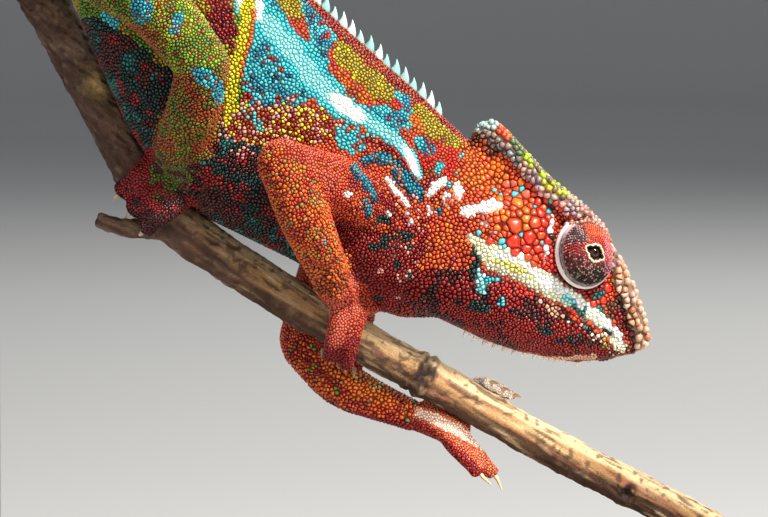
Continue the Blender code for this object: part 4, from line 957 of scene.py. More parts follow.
def colour_legs(m):
    """Legs are green with turquoise patches, and feet are red, with a brown and green ankle."""
    u, w = m.across, m.up
    legs, thigh = m.of("thigh", "shank"), m.of("thigh")
    m.lay(GREEN, legs)
    m.patches(OLIVE, 3.2, 0.36, 54, legs, 0.3, None)
    m.patches(paint(66, 98, 22), 2.2, 0.34, 55, legs, 0.3, None)
    m.patches(LIME, 1.8, 0.2, 57, thigh, 0.3, None)
    m.patches(RUST, 2.2, 0.5, 56, m.of("shank"), 0.3, None)
    low_edge = np.interp(u, (-60.0, -48.0, -40.0, -32.0), (146.0, 140.6, 137.4, 135.0))
    m.lay(RUST, thigh * 0.8 * smooth_rise(1.4, -0.6, w - low_edge) * smooth_rise(-33.0, -36.0, u), None)
    blues = ((-38.5, 141.2, 2.4, 3.0), (-31.6, 137.6, 1.2, 2.4, -22.0), (-26.0, 127.2, 3.6, 1.5, -26.0),
             (-23.4, 124.0, 1.3, 1.8), (-50.0, 146.0, 2.2, 2.8), (-52.0, 166.0, 2.4, 2.0),
             (-60.0, 172.0, 2.0, 2.6))
    m.spots(BLUE, blues, legs, 0.6)
    m.patches(TURQUOISE, 1.6, 0.4, 58, m.in_spots(blues) * legs)
    m.beads(CRIMSON, 0.03, legs)
    m.beads(RUST, 0.12, legs)
    m.beads(paint(196, 108, 40), 0.04, legs)
    near_foot, far_foot = m.of("foot_right"), m.of("foot_left")
    feet = near_foot + far_foot
    m.lay(CRIMSON, feet)
    ankle = near_foot * m.in_spot(-31.4, 111.4, 5.2, 8.0, -14.0, ragged=0.8)
    m.lay(paint(118, 74, 30), ankle)
    m.patches(paint(104, 112, 34), 2.4, 0.6, 60, ankle)
    m.beads(paint(70, 140, 110), 0.06, ankle)
    m.patches(OLIVE, 3.0, 0.4, 62, far_foot)
    m.patches(MAROON, 2.2, 0.34, 61, feet * (w < 112.0))
    m.lay(MAROON, near_foot * smooth_rise(104.0, 100.0, w + 2.0 * m.ragged) * 0.8)


def colour_tail(m):
    """The tail is ringed: green and olive, then rust, with turquoise patches and small red beads."""
    tail, base = m.of("tail"), m.of("tail_base")
    angle = np.arctan2(m.places[:, 2] - coil_middle.z, m.places[:, 0] - coil_middle.x)
    around = np.where(base > 0, (m.places[:, 0] + 98.0) * 0.045, angle)
    rings = np.sin(around * 9.0 + 2.4 * m.ragged)
    coil = m.of("tail_coil") + base * smooth_rise(-58.0, -64.0, m.places[:, 0])
    m.lay(OLIVE, coil)
    m.patches(GREEN, 3.0, 0.55, 71, coil)
    m.lay(RUST, coil * smooth_rise(0.1, 0.4, rings), 0.5)
    m.lay(TURQUOISE, coil * smooth_rise(0.74, 0.9, -rings), 0.4)
    m.patches(CRIMSON, 1.2, 0.16, 72, tail)
    m.lay(DEEP_RED, base * m.inside(crest_distance(m.drawing) / 2.6, 0.35) * 0.9)


def coloured(places, part, seed, crisp):
    """The colour of each place. The front of the near shoulder carries the trunk's markings."""
    shoulder = part == PARTS["upper_arm_right"]
    u, w = drawing_of(places, part).T
    part = np.where(shoulder & (u > 3.0 - (117.0 - w) * 0.15), PARTS["trunk"], part)
    m = Markings(places, part, seed, crisp)
    body, over = m.of("trunk", "neck", "tail_base"), height_over_stripe(m.drawing)
    colour_back(m, body, over)
    colour_flank(m, body)
    colour_neck(m, body, over)
    colour_stripes(m, body, over)
    head, jaw = m.of("head"), m.of("lower_jaw")
    colour_cheek(m, head)
    colour_jaw(m, head, jaw)
    colour_ridges(m, head)
    colour_arms(m)
    colour_legs(m)
    colour_tail(m)
    return m.tint


# -------------------- the scales
# The hide is paved with round, beady scales that never overlap: large plates on the temple, knobs on
# the head's ridges, mixed beads on the arms, and the finest ones on the lips, throat and feet.

# Knobs on each ridge: how far aside they reach, their half width at its two ends, all in mm, and how
# far they stand out as a share of that.
RIDGE_KNOBS = (
    (CASQUE_RIDGE, 2.2, 0.66, 0.56, 1.1),
    (BROW_RIDGE, 1.5, 0.50, 0.62, 1.2),
    (SNOUT_RIDGE, 2.4, 0.70, 0.82, 1.3),
)


def scale_size(m):
    """Half width in mm of the scale that would grow at each place."""
    u, w, places = m.across, m.up, m.places
    mixed = m.random.random(len(places))
    trunk, fore = 0.34 + 0.10 * (mixed > 0.9), 0.31 + 0.16 * mixed**4
    by_part = {
        "head": 0.37 + 0.06 * mixed, "lower_jaw": 0.31, "neck": 0.33, "trunk": trunk, "tail_base": trunk,
        "upper_arm": 0.30, "forearm": fore, "forearm_left": 0.35 + 0.13 * mixed**3, "hand": 0.28,
        "hand_left": 0.25, "thigh": 0.30 + 0.13 * (mixed > 0.93), "shank": fore, "foot": 0.28,
        "tail_coil_1": 0.40, "tail_coil_2": 0.38, "tail_coil_3": 0.36, "tail_coil_4": 0.32,
        "tail_coil_5": 0.27, "tail_coil_6": 0.23,
    }
    size = np.zeros(len(places))
    for name, half in by_part.items():
        size = np.where(m.of(name) > 0, half, size)
    head = m.of("head") > 0
    size = np.where(head & (u > 29.0) & (u < 36.0) & (w > 99.0), 0.42 + 0.12 * mixed, size)
    temple = spot(m.drawing, 37.6, 99.0, 5.6, 8.2, 10.0) < 1.0
    size = np.where(head & temple, 0.50 + 0.25 * mixed, size)
    size = np.where(head & (u > 44.0) & (w < 100.0), 0.34 + 0.26 * mixed**2, size)
    lip = stroke(m.drawing, [(a, b, 1.0) for a, b, _ in LIP_STRIPE]) < 1.7
    size = np.where(head & lip, 0.40, size)
    for rows, reach, low, high, _ in RIDGE_KNOBS:
        gap, along = ridge_distance(places, rows)
        size = np.where(head & (gap < reach), low + (high - low) * along, size)
    beads = m.of("lower_jaw") * (w > np.interp(u, (28.0, 57.0), (83.0, 74.5)))
    return np.where(beads > 0, 0.34 + 0.10 * mixed, size)


def scale_lift(m, size):
    """How far in mm each scale stands out."""
    lift = np.minimum(size * 0.95, 0.40 + 0.25 * (size - 0.5))
    head = m.of("head") > 0
    for rows, reach, _, _, share in RIDGE_KNOBS:
        lift = np.where(head & (ridge_distance(m.places, rows)[0] < reach), size * share, lift)
    lift = np.where(m.of("hand", "foot") > 0, size * 0.62, lift)
    return np.where(m.of("hand_left") > 0, size * 0.4, lift)


# An eye turret bulges out of its socket: its radii in mm, across, up, and out along the gaze, how much
# of it the scales leave free, its middle ahead of the mouth's tip, above it and aside, and its gaze.
EYE_RADII = np.array((6.0, 7.0, 7.6))
SOCKET_REACH = 0.97
EYE_AHEAD, EYE_ABOVE, EYE_ASIDE = -18.5, 12.1, 8.6
GAZE_FORWARD, GAZE_RISE = math.radians(17.0), 0.07
EYE_SIDES = {"right": -1.0, "left": 1.0}


def eye_frame(side):
    """The middle of an eye turret in mm, and its own axes: forward, up and out along the gaze."""
    sign = EYE_SIDES[side]
    middle = Vector(MOUTH_TIP + HEAD_FORWARD * EYE_AHEAD + HEAD_UP * EYE_ABOVE)
    middle.y += sign * EYE_ASIDE
    gaze = Vector((math.sin(GAZE_FORWARD), sign * math.cos(GAZE_FORWARD), GAZE_RISE)).normalized()
    up = (Vector((0.0, 0.0, 1.0)) - gaze * gaze.z).normalized()
    ahead = up.cross(gaze) * -sign
    return np.array(middle), np.array((ahead, up, gaze))


def inside_eye(places, reach):
    """Whether places lie in either turret's own swollen shape."""
    found = np.zeros(len(places), bool)
    for side in EYE_SIDES:
        middle, axes = eye_frame(side)
        local = (places - middle) @ axes.T
        found |= np.linalg.norm(local / EYE_RADII, axis=1) < reach
    return found


HEXAGON = 3.46  # the area of a scale's cell, in squares of its half width
CANDIDATES = 7.0  # to each scale that there is room for
PACKING = 0.80  # how near two scales may grow, as a share of their half widths together
FILLED = 0.95  # how much of the way to its bounds a scale reaches


def scattered(net, part, normals, seed):
    """Candidate places over the whole skin, closer together where scales are smaller."""
    random = np.random.default_rng(seed)
    triangles = np.concatenate([net.faces[:, [0, 1, 2]], net.faces[:, [0, 2, 3]]])
    a, b, c = (net.points[triangles[:, k]] for k in range(3))
    area = np.linalg.norm(np.cross(b - a, c - a), axis=1) / 2.0
    wanted = size_on_skin[triangles].mean(axis=1)
    count = random.poisson(area / (HEXAGON * wanted**2) * CANDIDATES)
    face = np.repeat(np.arange(len(triangles)), count)
    first, second = random.random(len(face)), random.random(len(face))
    flip = first + second > 1.0
    first, second = np.where(flip, 1.0 - first, first), np.where(flip, 1.0 - second, second)
    places = a[face] + (b - a)[face] * first[:, None] + (c - a)[face] * second[:, None]
    corner = triangles[face, random.integers(0, 3, len(face))]
    return places, normals[corner], part[corner]


skin_normals = skin.normals()
skin_part = parts_at(skin.points, 1.6)
survey = Markings(skin.points, skin_part, 5, False)
carries_plates = survey.of("head", "lower_jaw", "neck", "trunk") > 0
size_on_skin = scale_size(survey)
places, place_normals, place_part = scattered(skin, skin_part, skin_normals, 6)


def nearest_on_drawing(u, w, side):
    """The skin point that lies at this place of the side drawing of the head and neck, on one side."""
    facing = (skin_normals[:, 1] * side > 0.15) & (skin.points[:, 1] * side > 0.5) & carries_plates
    gap = np.linalg.norm(survey.drawing - (u, w), axis=1) + 1000.0 * ~facing
    return int(gap.argmin())


plates, plate_tints = [], []
for u, w, half, tint in TEMPLE_PLATES:
    for side in (-1.0, 1.0):
        index = nearest_on_drawing(u, w, side)
        plates.append((*skin.points[index], *skin_normals[index], skin_part[index], half))
        plate_tints.append(tint)
plates = np.array(plates)

places = np.concatenate([plates[:, :3], places])
place_normals = np.concatenate([plates[:, 3:6], place_normals])
place_part = np.concatenate([plates[:, 6].astype(int), place_part])
sizes = scale_size(Markings(places, place_part, 8, True))
sizes[: len(plates)] = plates[:, 7]


def tree_of(places):
    """A finder of the nearest of many places."""
    tree = KDTree(len(places))
    for number, place in enumerate(places):
        tree.insert(place, number)
    tree.balance()
    return tree


# The plates take their ground first, then the largest knobs, then the rest in random order.
order = np.random.default_rng(9).permutation(len(places) - len(plates)) + len(plates)
order = order[np.argsort(-sizes[order] * (sizes[order] > 0.6), kind="stable")]
order = np.concatenate([np.arange(len(plates)), order])
tree = tree_of(places)
free, size_list, chosen = (~inside_eye(places, SOCKET_REACH)).tolist(), sizes.tolist(), []
for number in order.tolist():
    if not free[number]:
        continue
    chosen.append(number)
    size = size_list[number]
    # The largest are placed by then, so that a small one looks no further than twice its own size.
    for _, other, gap in tree.find_range(places[number], size * 2.0 if size < 0.45 else size + 0.9):
        if gap < (size + size_list[other]) * PACKING:
            free[other] = False
roots, root_normals = places[chosen], place_normals[chosen]
root_part, sizes = place_part[chosen], sizes[chosen]
root_count = len(roots)
fixed = np.array(chosen) < len(plates)

# Each scale then moves to the middle of the ground nearest to it, which evens out the gaps.
ground = places[len(plates) :: 4]
ground_normals = place_normals[len(plates) :: 4]
size_list = sizes.tolist()
for _ in range(4):
    tree = tree_of(roots)
    owner = [min(tree.find_n(place, 3), key=lambda row: row[2] / size_list[row[1]])[1] for place in ground]
    held = np.bincount(owner, minlength=root_count)
    move = (held > 1) & ~fixed
    for target, source in ((roots, ground), (root_normals, ground_normals)):
        mean = np.stack([np.bincount(owner, source[:, k], root_count) for k in range(3)], axis=1)
        target[move] = (mean / np.maximum(held, 1)[:, None])[move]
root_normals = unit(root_normals)


def frames_at(normals):
    """Two directions in the surface at each place."""
    helper = np.where(np.abs(normals[:, 2:]) < 0.8, (0.0, 0.0, 1.0), (1.0, 0.0, 0.0))
    first = unit(np.cross(helper, normals))
    return first, np.cross(normals, first)


def outlines(roots, normals, sizes, sides, chosen):
    """Directions and reach of each chosen scale's corners, which meet its neighbours' halfway."""
    tree = tree_of(roots)
    first, second = frames_at(normals[chosen])
    around = np.array([[row[1] for row in tree.find_n(roots[number], 10)][1:] for number in chosen])
    offset = roots[around] - roots[chosen][:, None]
    long = np.einsum("nkd,nd->nk", offset, first)
    wide = np.einsum("nkd,nd->nk", offset, second)
    heading, apart = np.arctan2(wide, long), np.hypot(long, wide)
    share = apart * sizes[chosen][:, None] / (sizes[chosen][:, None] + sizes[around])
    tries = 5  # directions for each corner, of which the one that reaches furthest is taken
    angles = np.arange(sides * tries) * 2.0 * math.pi / (sides * tries)
    reach = np.full((len(chosen), len(angles)), FAR)
    for k in range(around.shape[1]):
        facing = np.cos(angles[None] - heading[:, k, None])
        halfway = share[:, k, None] / np.maximum(facing, 0.15)
        reach = np.minimum(reach, np.where(facing > 0.15, halfway, FAR))
    reach = np.clip(reach, sizes[chosen][:, None] * 0.35, sizes[chosen][:, None] * 1.6)
    reach = reach.reshape(-1, sides, tries)
    best = (reach - 0.02 * np.abs(np.arange(tries) - tries // 2)).argmax(axis=2)
    reach = np.take_along_axis(reach, best[:, :, None], axis=2)[:, :, 0] * FILLED
    reach = np.minimum(reach, reach.mean(axis=1, keepdims=True) * (1.14 if sides < 8 else 1.10))
    return angles.reshape(sides, tries)[np.arange(sides)[None], best], reach


BAKE_PATCH = 0.003  # a scale's width on the bake map


def domes(roots, normals, angles, reach, lift, profile, tints, painted_light, patch=None, lean=None):
    """Closed domes as arrays: points, faces, colours and bake map. A profile row is width and height."""
    count, sides = angles.shape
    first, second = frames_at(normals)
    ray = np.cos(angles)[:, :, None] * first[:, None] + np.sin(angles)[:, :, None] * second[:, None]
    flat = np.stack([np.cos(angles), np.sin(angles)], axis=2)
    lean = np.zeros((count, 3)) if lean is None else lean
    points, colours, bake = [], [], []
    # Each level's tint is multiplied by its painted light: painted shade at the foot, a painted highlight at
    # the top, and less shade where the tint is pale.
    pale = 0.6 * np.clip(tints.min(axis=1, keepdims=True), 0.0, 1.0)
    for (width, height), dark in zip(profile, painted_light):
        shade = dark + np.maximum(1.0 - dark, 0.0) * pale
        rise = normals * (height * lift)[:, None] + lean * (max(height, 0.0) ** 2 * lift)[:, None]
        if width > 0.0:
            points.append(roots[:, None] + ray * (reach * width)[:, :, None] + rise[:, None])
            colours.append(np.repeat((tints * shade)[:, None], sides, axis=1))
            bake.append(flat * width)
        else:
            points.append((roots + rise)[:, None])
            colours.append((tints * shade)[:, None])
            bake.append(np.zeros((count, 1, 2)))
    rings = len(profile) - 1
    each = rings * sides + 1
    start = (np.arange(count) * each)[:, None]
    k = np.arange(sides)
    after = (k + 1) % sides
    quads = []
    for low in range(0, (rings - 1) * sides, sides):
        corners = np.stack([low + k, low + after, low + sides + after, low + sides + k], axis=1)
        quads.append((start[:, :, None] + corners).reshape(-1, 4))
    top = (rings - 1) * sides
    corners = np.stack([top + k, top + after, np.full(sides, each - 1)], axis=1)
    tips = (start[:, :, None] + corners).reshape(-1, 3)
    floor = start + k[::-1]
    points = np.concatenate(points, axis=1).reshape(-1, 3)
    colours = np.concatenate(colours, axis=1).reshape(-1, 3)
    bake = np.concatenate(bake, axis=1)
    patch = np.full((count, 2), 0.5) if patch is None else patch
    bake = (patch[:, None] + bake * BAKE_PATCH / 2).reshape(-1, 2)
    return points, [*quads, tips, floor], colours, bake


def solid_mesh(name, groups):
    """One mesh from several sets of domes, with its colours and its bake map."""
    points, loops, totals, colours, bake, first = [], [], [], [], [], 0
    for group_points, faces, group_colours, group_bake in groups:
        for rows in faces:
            loops.append((rows + first).ravel())
            totals.append(np.full(len(rows), rows.shape[1]))
        points.append(group_points)
        colours.append(group_colours)
        bake.append(group_bake)
        first += len(group_points)
    points, colours, bake = np.concatenate(points), np.concatenate(colours), np.concatenate(bake)
    loops, totals = np.concatenate(loops), np.concatenate(totals)
    mesh = bpy.data.meshes.new(name)
    mesh.vertices.add(len(points))
    mesh.vertices.foreach_set("co", (points * MM).astype(np.float32).ravel())
    mesh.loops.add(len(loops))
    mesh.loops.foreach_set("vertex_index", loops.astype(np.int32))
    mesh.polygons.add(len(totals))
    mesh.polygons.foreach_set("loop_start", np.concatenate([[0], np.cumsum(totals)[:-1]]).astype(np.int32))
    mesh.update(calc_edges=True)
    tinted(mesh, colours)
    mesh.uv_layers.new(name="OFBake").data.foreach_set("uv", bake[loops].astype(np.float32).ravel())
    return mesh


def tinted(mesh, colours):
    """Gives each point of a mesh its colour."""
    layer = mesh.color_attributes.new("Tint", "FLOAT_COLOR", "POINT")
    rgba = np.concatenate([np.clip(colours, 0.0, 1.0), np.ones((len(colours), 1))], axis=1)
    layer.data.foreach_set("color", rgba.astype(np.float32).ravel())


def coat_material(name, roughness, relief, waves, gloss=0.5):
    """A hide surface: the tint laid on it, a little uneven, with a fine grain whose hollows carry painted
    shade, and a soft gloss.
    """
    material, shader, start = new_material(name, roughness, Specular_IOR_Level=gloss)
    place = place_of(start)
    fine = grain_of(start, place, waves, 4.0)
    broad = grain_of(start, place, waves * 0.22, 3.0)
    # The tint is darkened where the fine grain's bump is low: painted shade in its hollows.
    colour = start.layer(tint_of(start), (0.0, 0.0, 0.0), (0.62 - fine).clamp() * 0.55)
    colour = start.layer(colour, (1.0, 0.93, 0.82), (broad - 0.52).clamp() * 0.30)
    finish_with(shader, colour, fine * 0.30 + (roughness - 0.15), fine, depth=relief * MM, strength=0.6)
    return material


hide = coat_material("scaly_hide", 0.75, 0.06, 3600.0, 0.15)
scale_face = coat_material("scale_face", 0.34, 0.03, 5200.0, 0.6)

# Between the scales the skin is much darker, as painted shade, but less so where it is pale.
skin_tint = coloured(skin.points, skin_part, 11, False)
skin_tint *= 0.18 + 0.72 * skin_tint.min(axis=1, keepdims=True)
skin_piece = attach(add_piece("skin", skin.mesh("skin", skin_tint), hide), "root")
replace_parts(skin_piece, *FLESH)


# Each scale's place on the bake map comes from an unwrap of its own body part: how far it lies along
# the part's length, over the net of the skin, and the angle round the part's middle there.
GROUPS = {
    "head": ("head",), "jaw_neck": ("lower_jaw", "neck"), "trunk": ("trunk",), "tail": ("tail",),
    "arm_right": ("upper_arm_right", "forearm_right", "hand_right"),
    "arm_left": ("upper_arm_left", "forearm_left", "hand_left"),
    "leg_right": ("thigh_right", "shank_right", "foot_right"),
    "leg_left": ("thigh_left", "shank_left", "foot_left"),
}
# The end of each group that its length is measured from, in mm.
FAR_ENDS = {
    "head": (62.0, 0.0, 74.0), "jaw_neck": (58.0, 0.0, 73.0), "trunk": (20.0, 0.0, 110.0),
    "tail": (-84.0, -10.5, 119.0), "arm_right": (3.0, -4.0, 72.0), "arm_left": (32.0, 0.0, 49.0),
    "leg_right": (-40.0, -4.0, 100.0), "leg_left": (-84.0, 6.0, 176.0),
}
steps_from = [[] for _ in skin.points]
edge_length = np.linalg.norm(skin.points[skin.near] - skin.points[skin.far], axis=1)
for near, far, length in zip(skin.near.tolist(), skin.far.tolist(), edge_length.tolist()):
    steps_from[near].append((far, length))


def way_along(start):
    """The length of the shortest way over the skin from one point to every other, in mm."""
    best = [math.inf] * len(skin.points)
    best[start] = 0.0
    queue = [(0.0, start)]
    while queue:
        gone, here = heapq.heappop(queue)
        if gone > best[here]:
            continue
        for there, length in steps_from[here]:
            if gone + length < best[there]:
                best[there] = gone + length
                heapq.heappush(queue, (gone + length, there))
    return np.array(best)


def in_group(part, group):
    """Whether each place's body part is one of a group's."""
    return np.isin(part, [PARTS[n] for n in FLESH for name in GROUPS[group] if n.startswith(name)])


net_tree = tree_of(skin.points)


def unwrapped(group, numbers):
    """Bake map places of the scales with these numbers, from 0 to 1 both ways."""
    start = net_tree.find(Vector(FAR_ENDS[group]))[1]
    along = way_along(start)
    member = in_group(skin_part, group)
    low, high = along[member].min(), along[member].max()
    bins = 60  # slices of the part's length, each with a middle of its own
    level = np.clip((along - low) / (high - low) * bins, 0, bins - 1e-6)
    slot = level.astype(int)
    centre = np.stack([np.bincount(slot[member], skin.points[member, k], bins) for k in range(3)], axis=1)
    centre = centre / np.maximum(np.bincount(slot[member], minlength=bins), 1)[:, None]
    root = np.array([net_tree.find(Vector(place))[1] for place in roots[numbers]])
    offset = roots[numbers] - centre[slot[root]]
    axis = unit(np.gradient(centre, axis=0)[slot[root]])
    side = unit(np.cross(axis, (0.05, 1.0, 0.08)))
    turn = np.arctan2((offset * np.cross(axis, side)).sum(axis=1), (offset * side).sum(axis=1))
    return np.stack([0.01 + 0.98 * level[root] / bins, 0.5 + 0.49 * turn / math.pi], axis=1)


# Outlines of a bead and of a plate from foot to top, as shares of width and height, each level's
# painted light (painted shade at the foot, a painted highlight at the top), the half width in mm from
# which a scale is a plate, and the most scales in one piece.
BEAD = ((1.0, -0.14), (0.68, 0.68), (0.0, 1.0))
BEAD_PAINTED_LIGHT = (0.24, 0.98, 1.14)
PLATE = ((1.0, -0.20), (0.92, 0.40), (0.66, 0.82), (0.34, 0.97), (0.0, 1.0))
PLATE_PAINTED_LIGHT = (0.26, 0.84, 1.0, 1.08, 1.10)
PLATE_FROM = 0.48
MOST_IN_PIECE = 8600

lift = scale_lift(Markings(roots, root_part, 21, True), sizes)
tints = coloured(roots, root_part, 12, True)
tints[fixed] = np.array(plate_tints)[np.array(chosen)[fixed]]
random = np.random.default_rng(13)
tints *= 1.0 + 0.40 * (random.random((root_count, 1)) - 0.5)
tints *= 1.0 + 0.16 * (random.random((root_count, 3)) - 0.5)


def scales_of(mine, patch, sides, profile, painted_light):
    """The domes of the scales with these numbers."""
    angles, reach = outlines(roots, root_normals, sizes, sides, mine)
    ground = roots[mine], root_normals[mine]
    return domes(*ground, angles, reach, lift[mine], profile, tints[mine], painted_light, patch)


for group in GROUPS:
    numbers = np.flatnonzero(in_group(root_part, group))
    patch = unwrapped(group, numbers)
    split = max(1, math.ceil(len(numbers) / MOST_IN_PIECE))
    ranked = np.argsort(patch[:, 0], kind="stable")
    for piece_number, share in enumerate(np.array_split(ranked, split), 1):
        large = sizes[numbers[share]] > PLATE_FROM
        made = []
        for fits, *form in ((~large, 6, BEAD, BEAD_PAINTED_LIGHT), (large, 10, PLATE, PLATE_PAINTED_LIGHT)):
            if fits.any():
                made.append(scales_of(numbers[share][fits], patch[share][fits], *form))
        name = f"scales_{group}" + (f"_{piece_number}" if split > 1 else "")
        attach(add_piece(name, solid_mesh(name, made), scale_face), "root")


# -------------------- the eye turrets
# Each eye is a cone of fused lids, covered in fine beads, with creased pale rings round its foot and
# a ragged cream rim round the small opening at its tip, where the dark globe shows.
LID_STEPS, LID_ROUND = 84, 96
LID_TURNS = np.arange(LID_ROUND) * 2.0 * math.pi / LID_ROUND
# Degrees from the tip: the opening's edge, the end of the beads, and the foot inside the head; the
# degrees from one crease to the next, and a place's width on the bake map for each degree.
OPENING, BEADED_TO, FOOT_AT = 12.5, 66.0, 158.0
CREASE_STEP = 4.4
BEADS_APART, RINGS_APART = 2.05, 1.86  # in half widths of a bead
LID_PATCH, KNOB_PATCH = 0.007, 0.003
# An eye bead's painted light: painted shade at its foot, a painted highlight at its top.
EYE_BEAD_PAINTED_LIGHT = (0.35, 0.96, 1.1)
BROW_PAINTS = paint(198, 150, 130), paint(226, 186, 166), paint(178, 142, 138), paint(190, 116, 84)
FOREHEAD_PAINTS = ORANGE_RED, ORANGE, paint(190, 70, 40), SALMON
GLOBE, GLOBE_BULGE = 1.75, 0.10  # mm: its radius, and how far the clear part over the pupil stands out


def opening_at(turn):
    """Half angle of the lids' opening in each direction: pointed up and back, and down and forward."""
    back = np.exp(-(((np.degrees(turn) - 150.0 + 180.0) % 360.0 - 180.0) / 20.0) ** 2)
    fore = np.exp(-(((np.degrees(turn) + 28.0 + 180.0) % 360.0 - 180.0) / 18.0) ** 2)
    ragged = 0.05 * np.sin(turn * 9.0) + 0.04 * np.sin(turn * 17.0 + 1.0)
    return OPENING * (0.94 + 0.62 * back + 0.50 * fore + ragged)


def brow_side(turn):
    """1 in front of an eye and over it, where the brow's knobs hug the lids, and 0 behind and below."""
    return smooth_rise(-0.10, 0.35, np.cos(turn - math.radians(48.0)) - 0.25)


def turret_point(side, polar, turn, proud=0.0):
    """Points and outward directions on an eye turret, at degrees from its tip and round it."""
    middle, axes = eye_frame(side)
    proud = proud - 0.75 * brow_side(turn) * smooth_rise(14.0, 50.0, polar) * smooth_rise(92.0, 76.0, polar)
    polar = np.radians(polar)
    ball = np.stack([np.sin(polar) * np.cos(turn), np.sin(polar) * np.sin(turn), np.cos(polar)], axis=-1)
    out = unit(ball / EYE_RADII)
    return middle + (ball * EYE_RADII + out * np.asarray(proud)[..., None]) @ axes, out @ axes


def crease_wave(polar):
    """1 on the rolls round a turret's foot and -1 in the creases between them."""
    return np.cos((polar - BEADED_TO) * 2.0 * math.pi / CREASE_STEP)


def ring_relief(polar, turn):
    """Height in mm of the creased rings at the turret's foot."""
    creases = 0.5 + 0.5 * crease_wave(polar)
    roll = np.exp(-(((polar - 82.5) / 5.0) ** 2))
    share = smooth_rise(BEADED_TO - 3.0, BEADED_TO + 2.0, polar) * (1.0 - brow_side(turn))
    return share * (0.20 * creases * smooth_rise(80.0, 74.0, polar) + 0.42 * roll)


def turret_tint(points, polar, turn, random, beads):
    """The lids' colours: orange above, mauve behind, dark red with pale beads below, pale rings outside."""
    u, w = drawing_of(points, np.full(len(points), PARTS["head"])).T
    u, w = u + 0.5 * (mottle(points, 0.9, 81) - 0.5), w + 0.8 * (mottle(points, 0.9, 82) - 0.5)
    tint = np.tile(paint(206, 62, 34), (len(points), 1))

    def lay(colour, share):
        nonlocal tint
        share = np.asarray(share, float)
        if beads:
            share = (share > 0.5 + 0.5 * (random.random(len(share)) - 0.5)).astype(float)
        tint = tint + (np.array(colour) - tint) * share[:, None]

    lay(paint(234, 104, 40), smooth_rise(95.4, 97.2, w) * 0.9)
    lay(paint(214, 60, 40), (random.random(len(u)) < 0.35) * (w > 95.0))
    lay(paint(172, 134, 132), smooth_rise(51.0, 49.2, u + (w - 96.5) * 0.5) * smooth_rise(94.6, 95.6, w))
    behind = smooth_rise(50.6, 49.4, u) * (w > 94.6) * (w < 99.0)
    lay(paint(92, 62, 66), (random.random(len(u)) < 0.40) * behind)
    lay(paint(178, 42, 38), smooth_rise(95.2, 94.2, w))
    lay(paint(96, 16, 20), smooth_rise(93.6, 91.0, w + 0.25 * (u - 49.0)))
    lay(paint(44, 16, 20), smooth_rise(91.0, 89.0, w))
    lay(paint(206, 130, 124), (random.random(len(u)) < 0.30) * (w < 95.0) * (w > 88.4) * (u < 52.0))
    lay(paint(150, 140, 110), (random.random(len(u)) < 0.25) * (w < 90.6))
    lay(paint(206, 120, 130), smooth_rise(53.2, 54.0, u) * (random.random(len(u)) < 0.6))
    rings = smooth_rise(BEADED_TO - 1.0, BEADED_TO + 2.0, polar)
    lay(paint(120, 44, 34), rings)
    rings = rings * (1.0 - brow_side(turn))
    lay(paint(230, 202, 202), rings)
    lines = crease_wave(polar)
    low = smooth_rise(98.0, 95.0, w + 0.5 * (u - 46.0))
    # Near-black lines in the creases of the lower rings are painted shade.
    lay(paint(30, 26, 28), rings * low * (lines < 0.1) * (polar < 75.0))
    lay(paint(168, 172, 164), rings * low * (lines > 0.55) * (polar < 75.0))
    lay(paint(252, 244, 242), rings * smooth_rise(74.0, 75.5, polar) * smooth_rise(87.0, 85.0, polar))
    lay(paint(196, 120, 116), rings * smooth_rise(85.0, 88.0, polar))
    lay(paint(118, 130, 122), rings * smooth_rise(90.0, 88.0, w) * smooth_rise(86.0, 88.0, polar))
    rim = smooth_rise(4.8, 3.0, polar - opening_at(turn) + 2.4 * (mottle(points, 0.7, 83) - 0.5))
    lay(paint(238, 222, 186), rim)
    lay(paint(62, 44, 34), rim * smooth_rise(1.2, 0.0, polar - opening_at(turn)))
    return tint


lid_material = coat_material("lid_skin", 0.42, 0.04, 5200.0)
globe_wet = {"Specular_IOR_Level": 0.35, "Coat_Weight": 0.3, "Coat_Roughness": 0.03}
globe_material, globe_shader, globe_start = new_material("eye_globe", 0.1, **globe_wet)
globe_fleck = grain_of(globe_start, place_of(globe_start), 4200.0, 3.0)
globe_brown = (globe_fleck - 0.5).clamp() * 0.6
globe_colour = globe_start.layer(tint_of(globe_start), (0.10, 0.04, 0.015), globe_brown)
finish_with(globe_shader, globe_colour)


def revolved(name, rings, flip):
    """A closed mesh from rings of points in mm, capped at both ends."""
    made = bmesh.new()
    layers = [[made.verts.new(Vector(place) * MM) for place in ring] for ring in rings]
    for inner, outer in zip(layers, layers[1:]):
        for k in range(len(inner)):
            after = (k + 1) % len(inner)
            corners = [inner[k], outer[k], outer[after], inner[after]]
            made.faces.new(corners[::-1] if flip else corners)
    made.faces.new(layers[0][::-1] if flip else layers[0])
    made.faces.new(layers[-1] if flip else layers[-1][::-1])
    bmesh.ops.recalc_face_normals(made, faces=made.faces)
    return mesh_of(name, made)


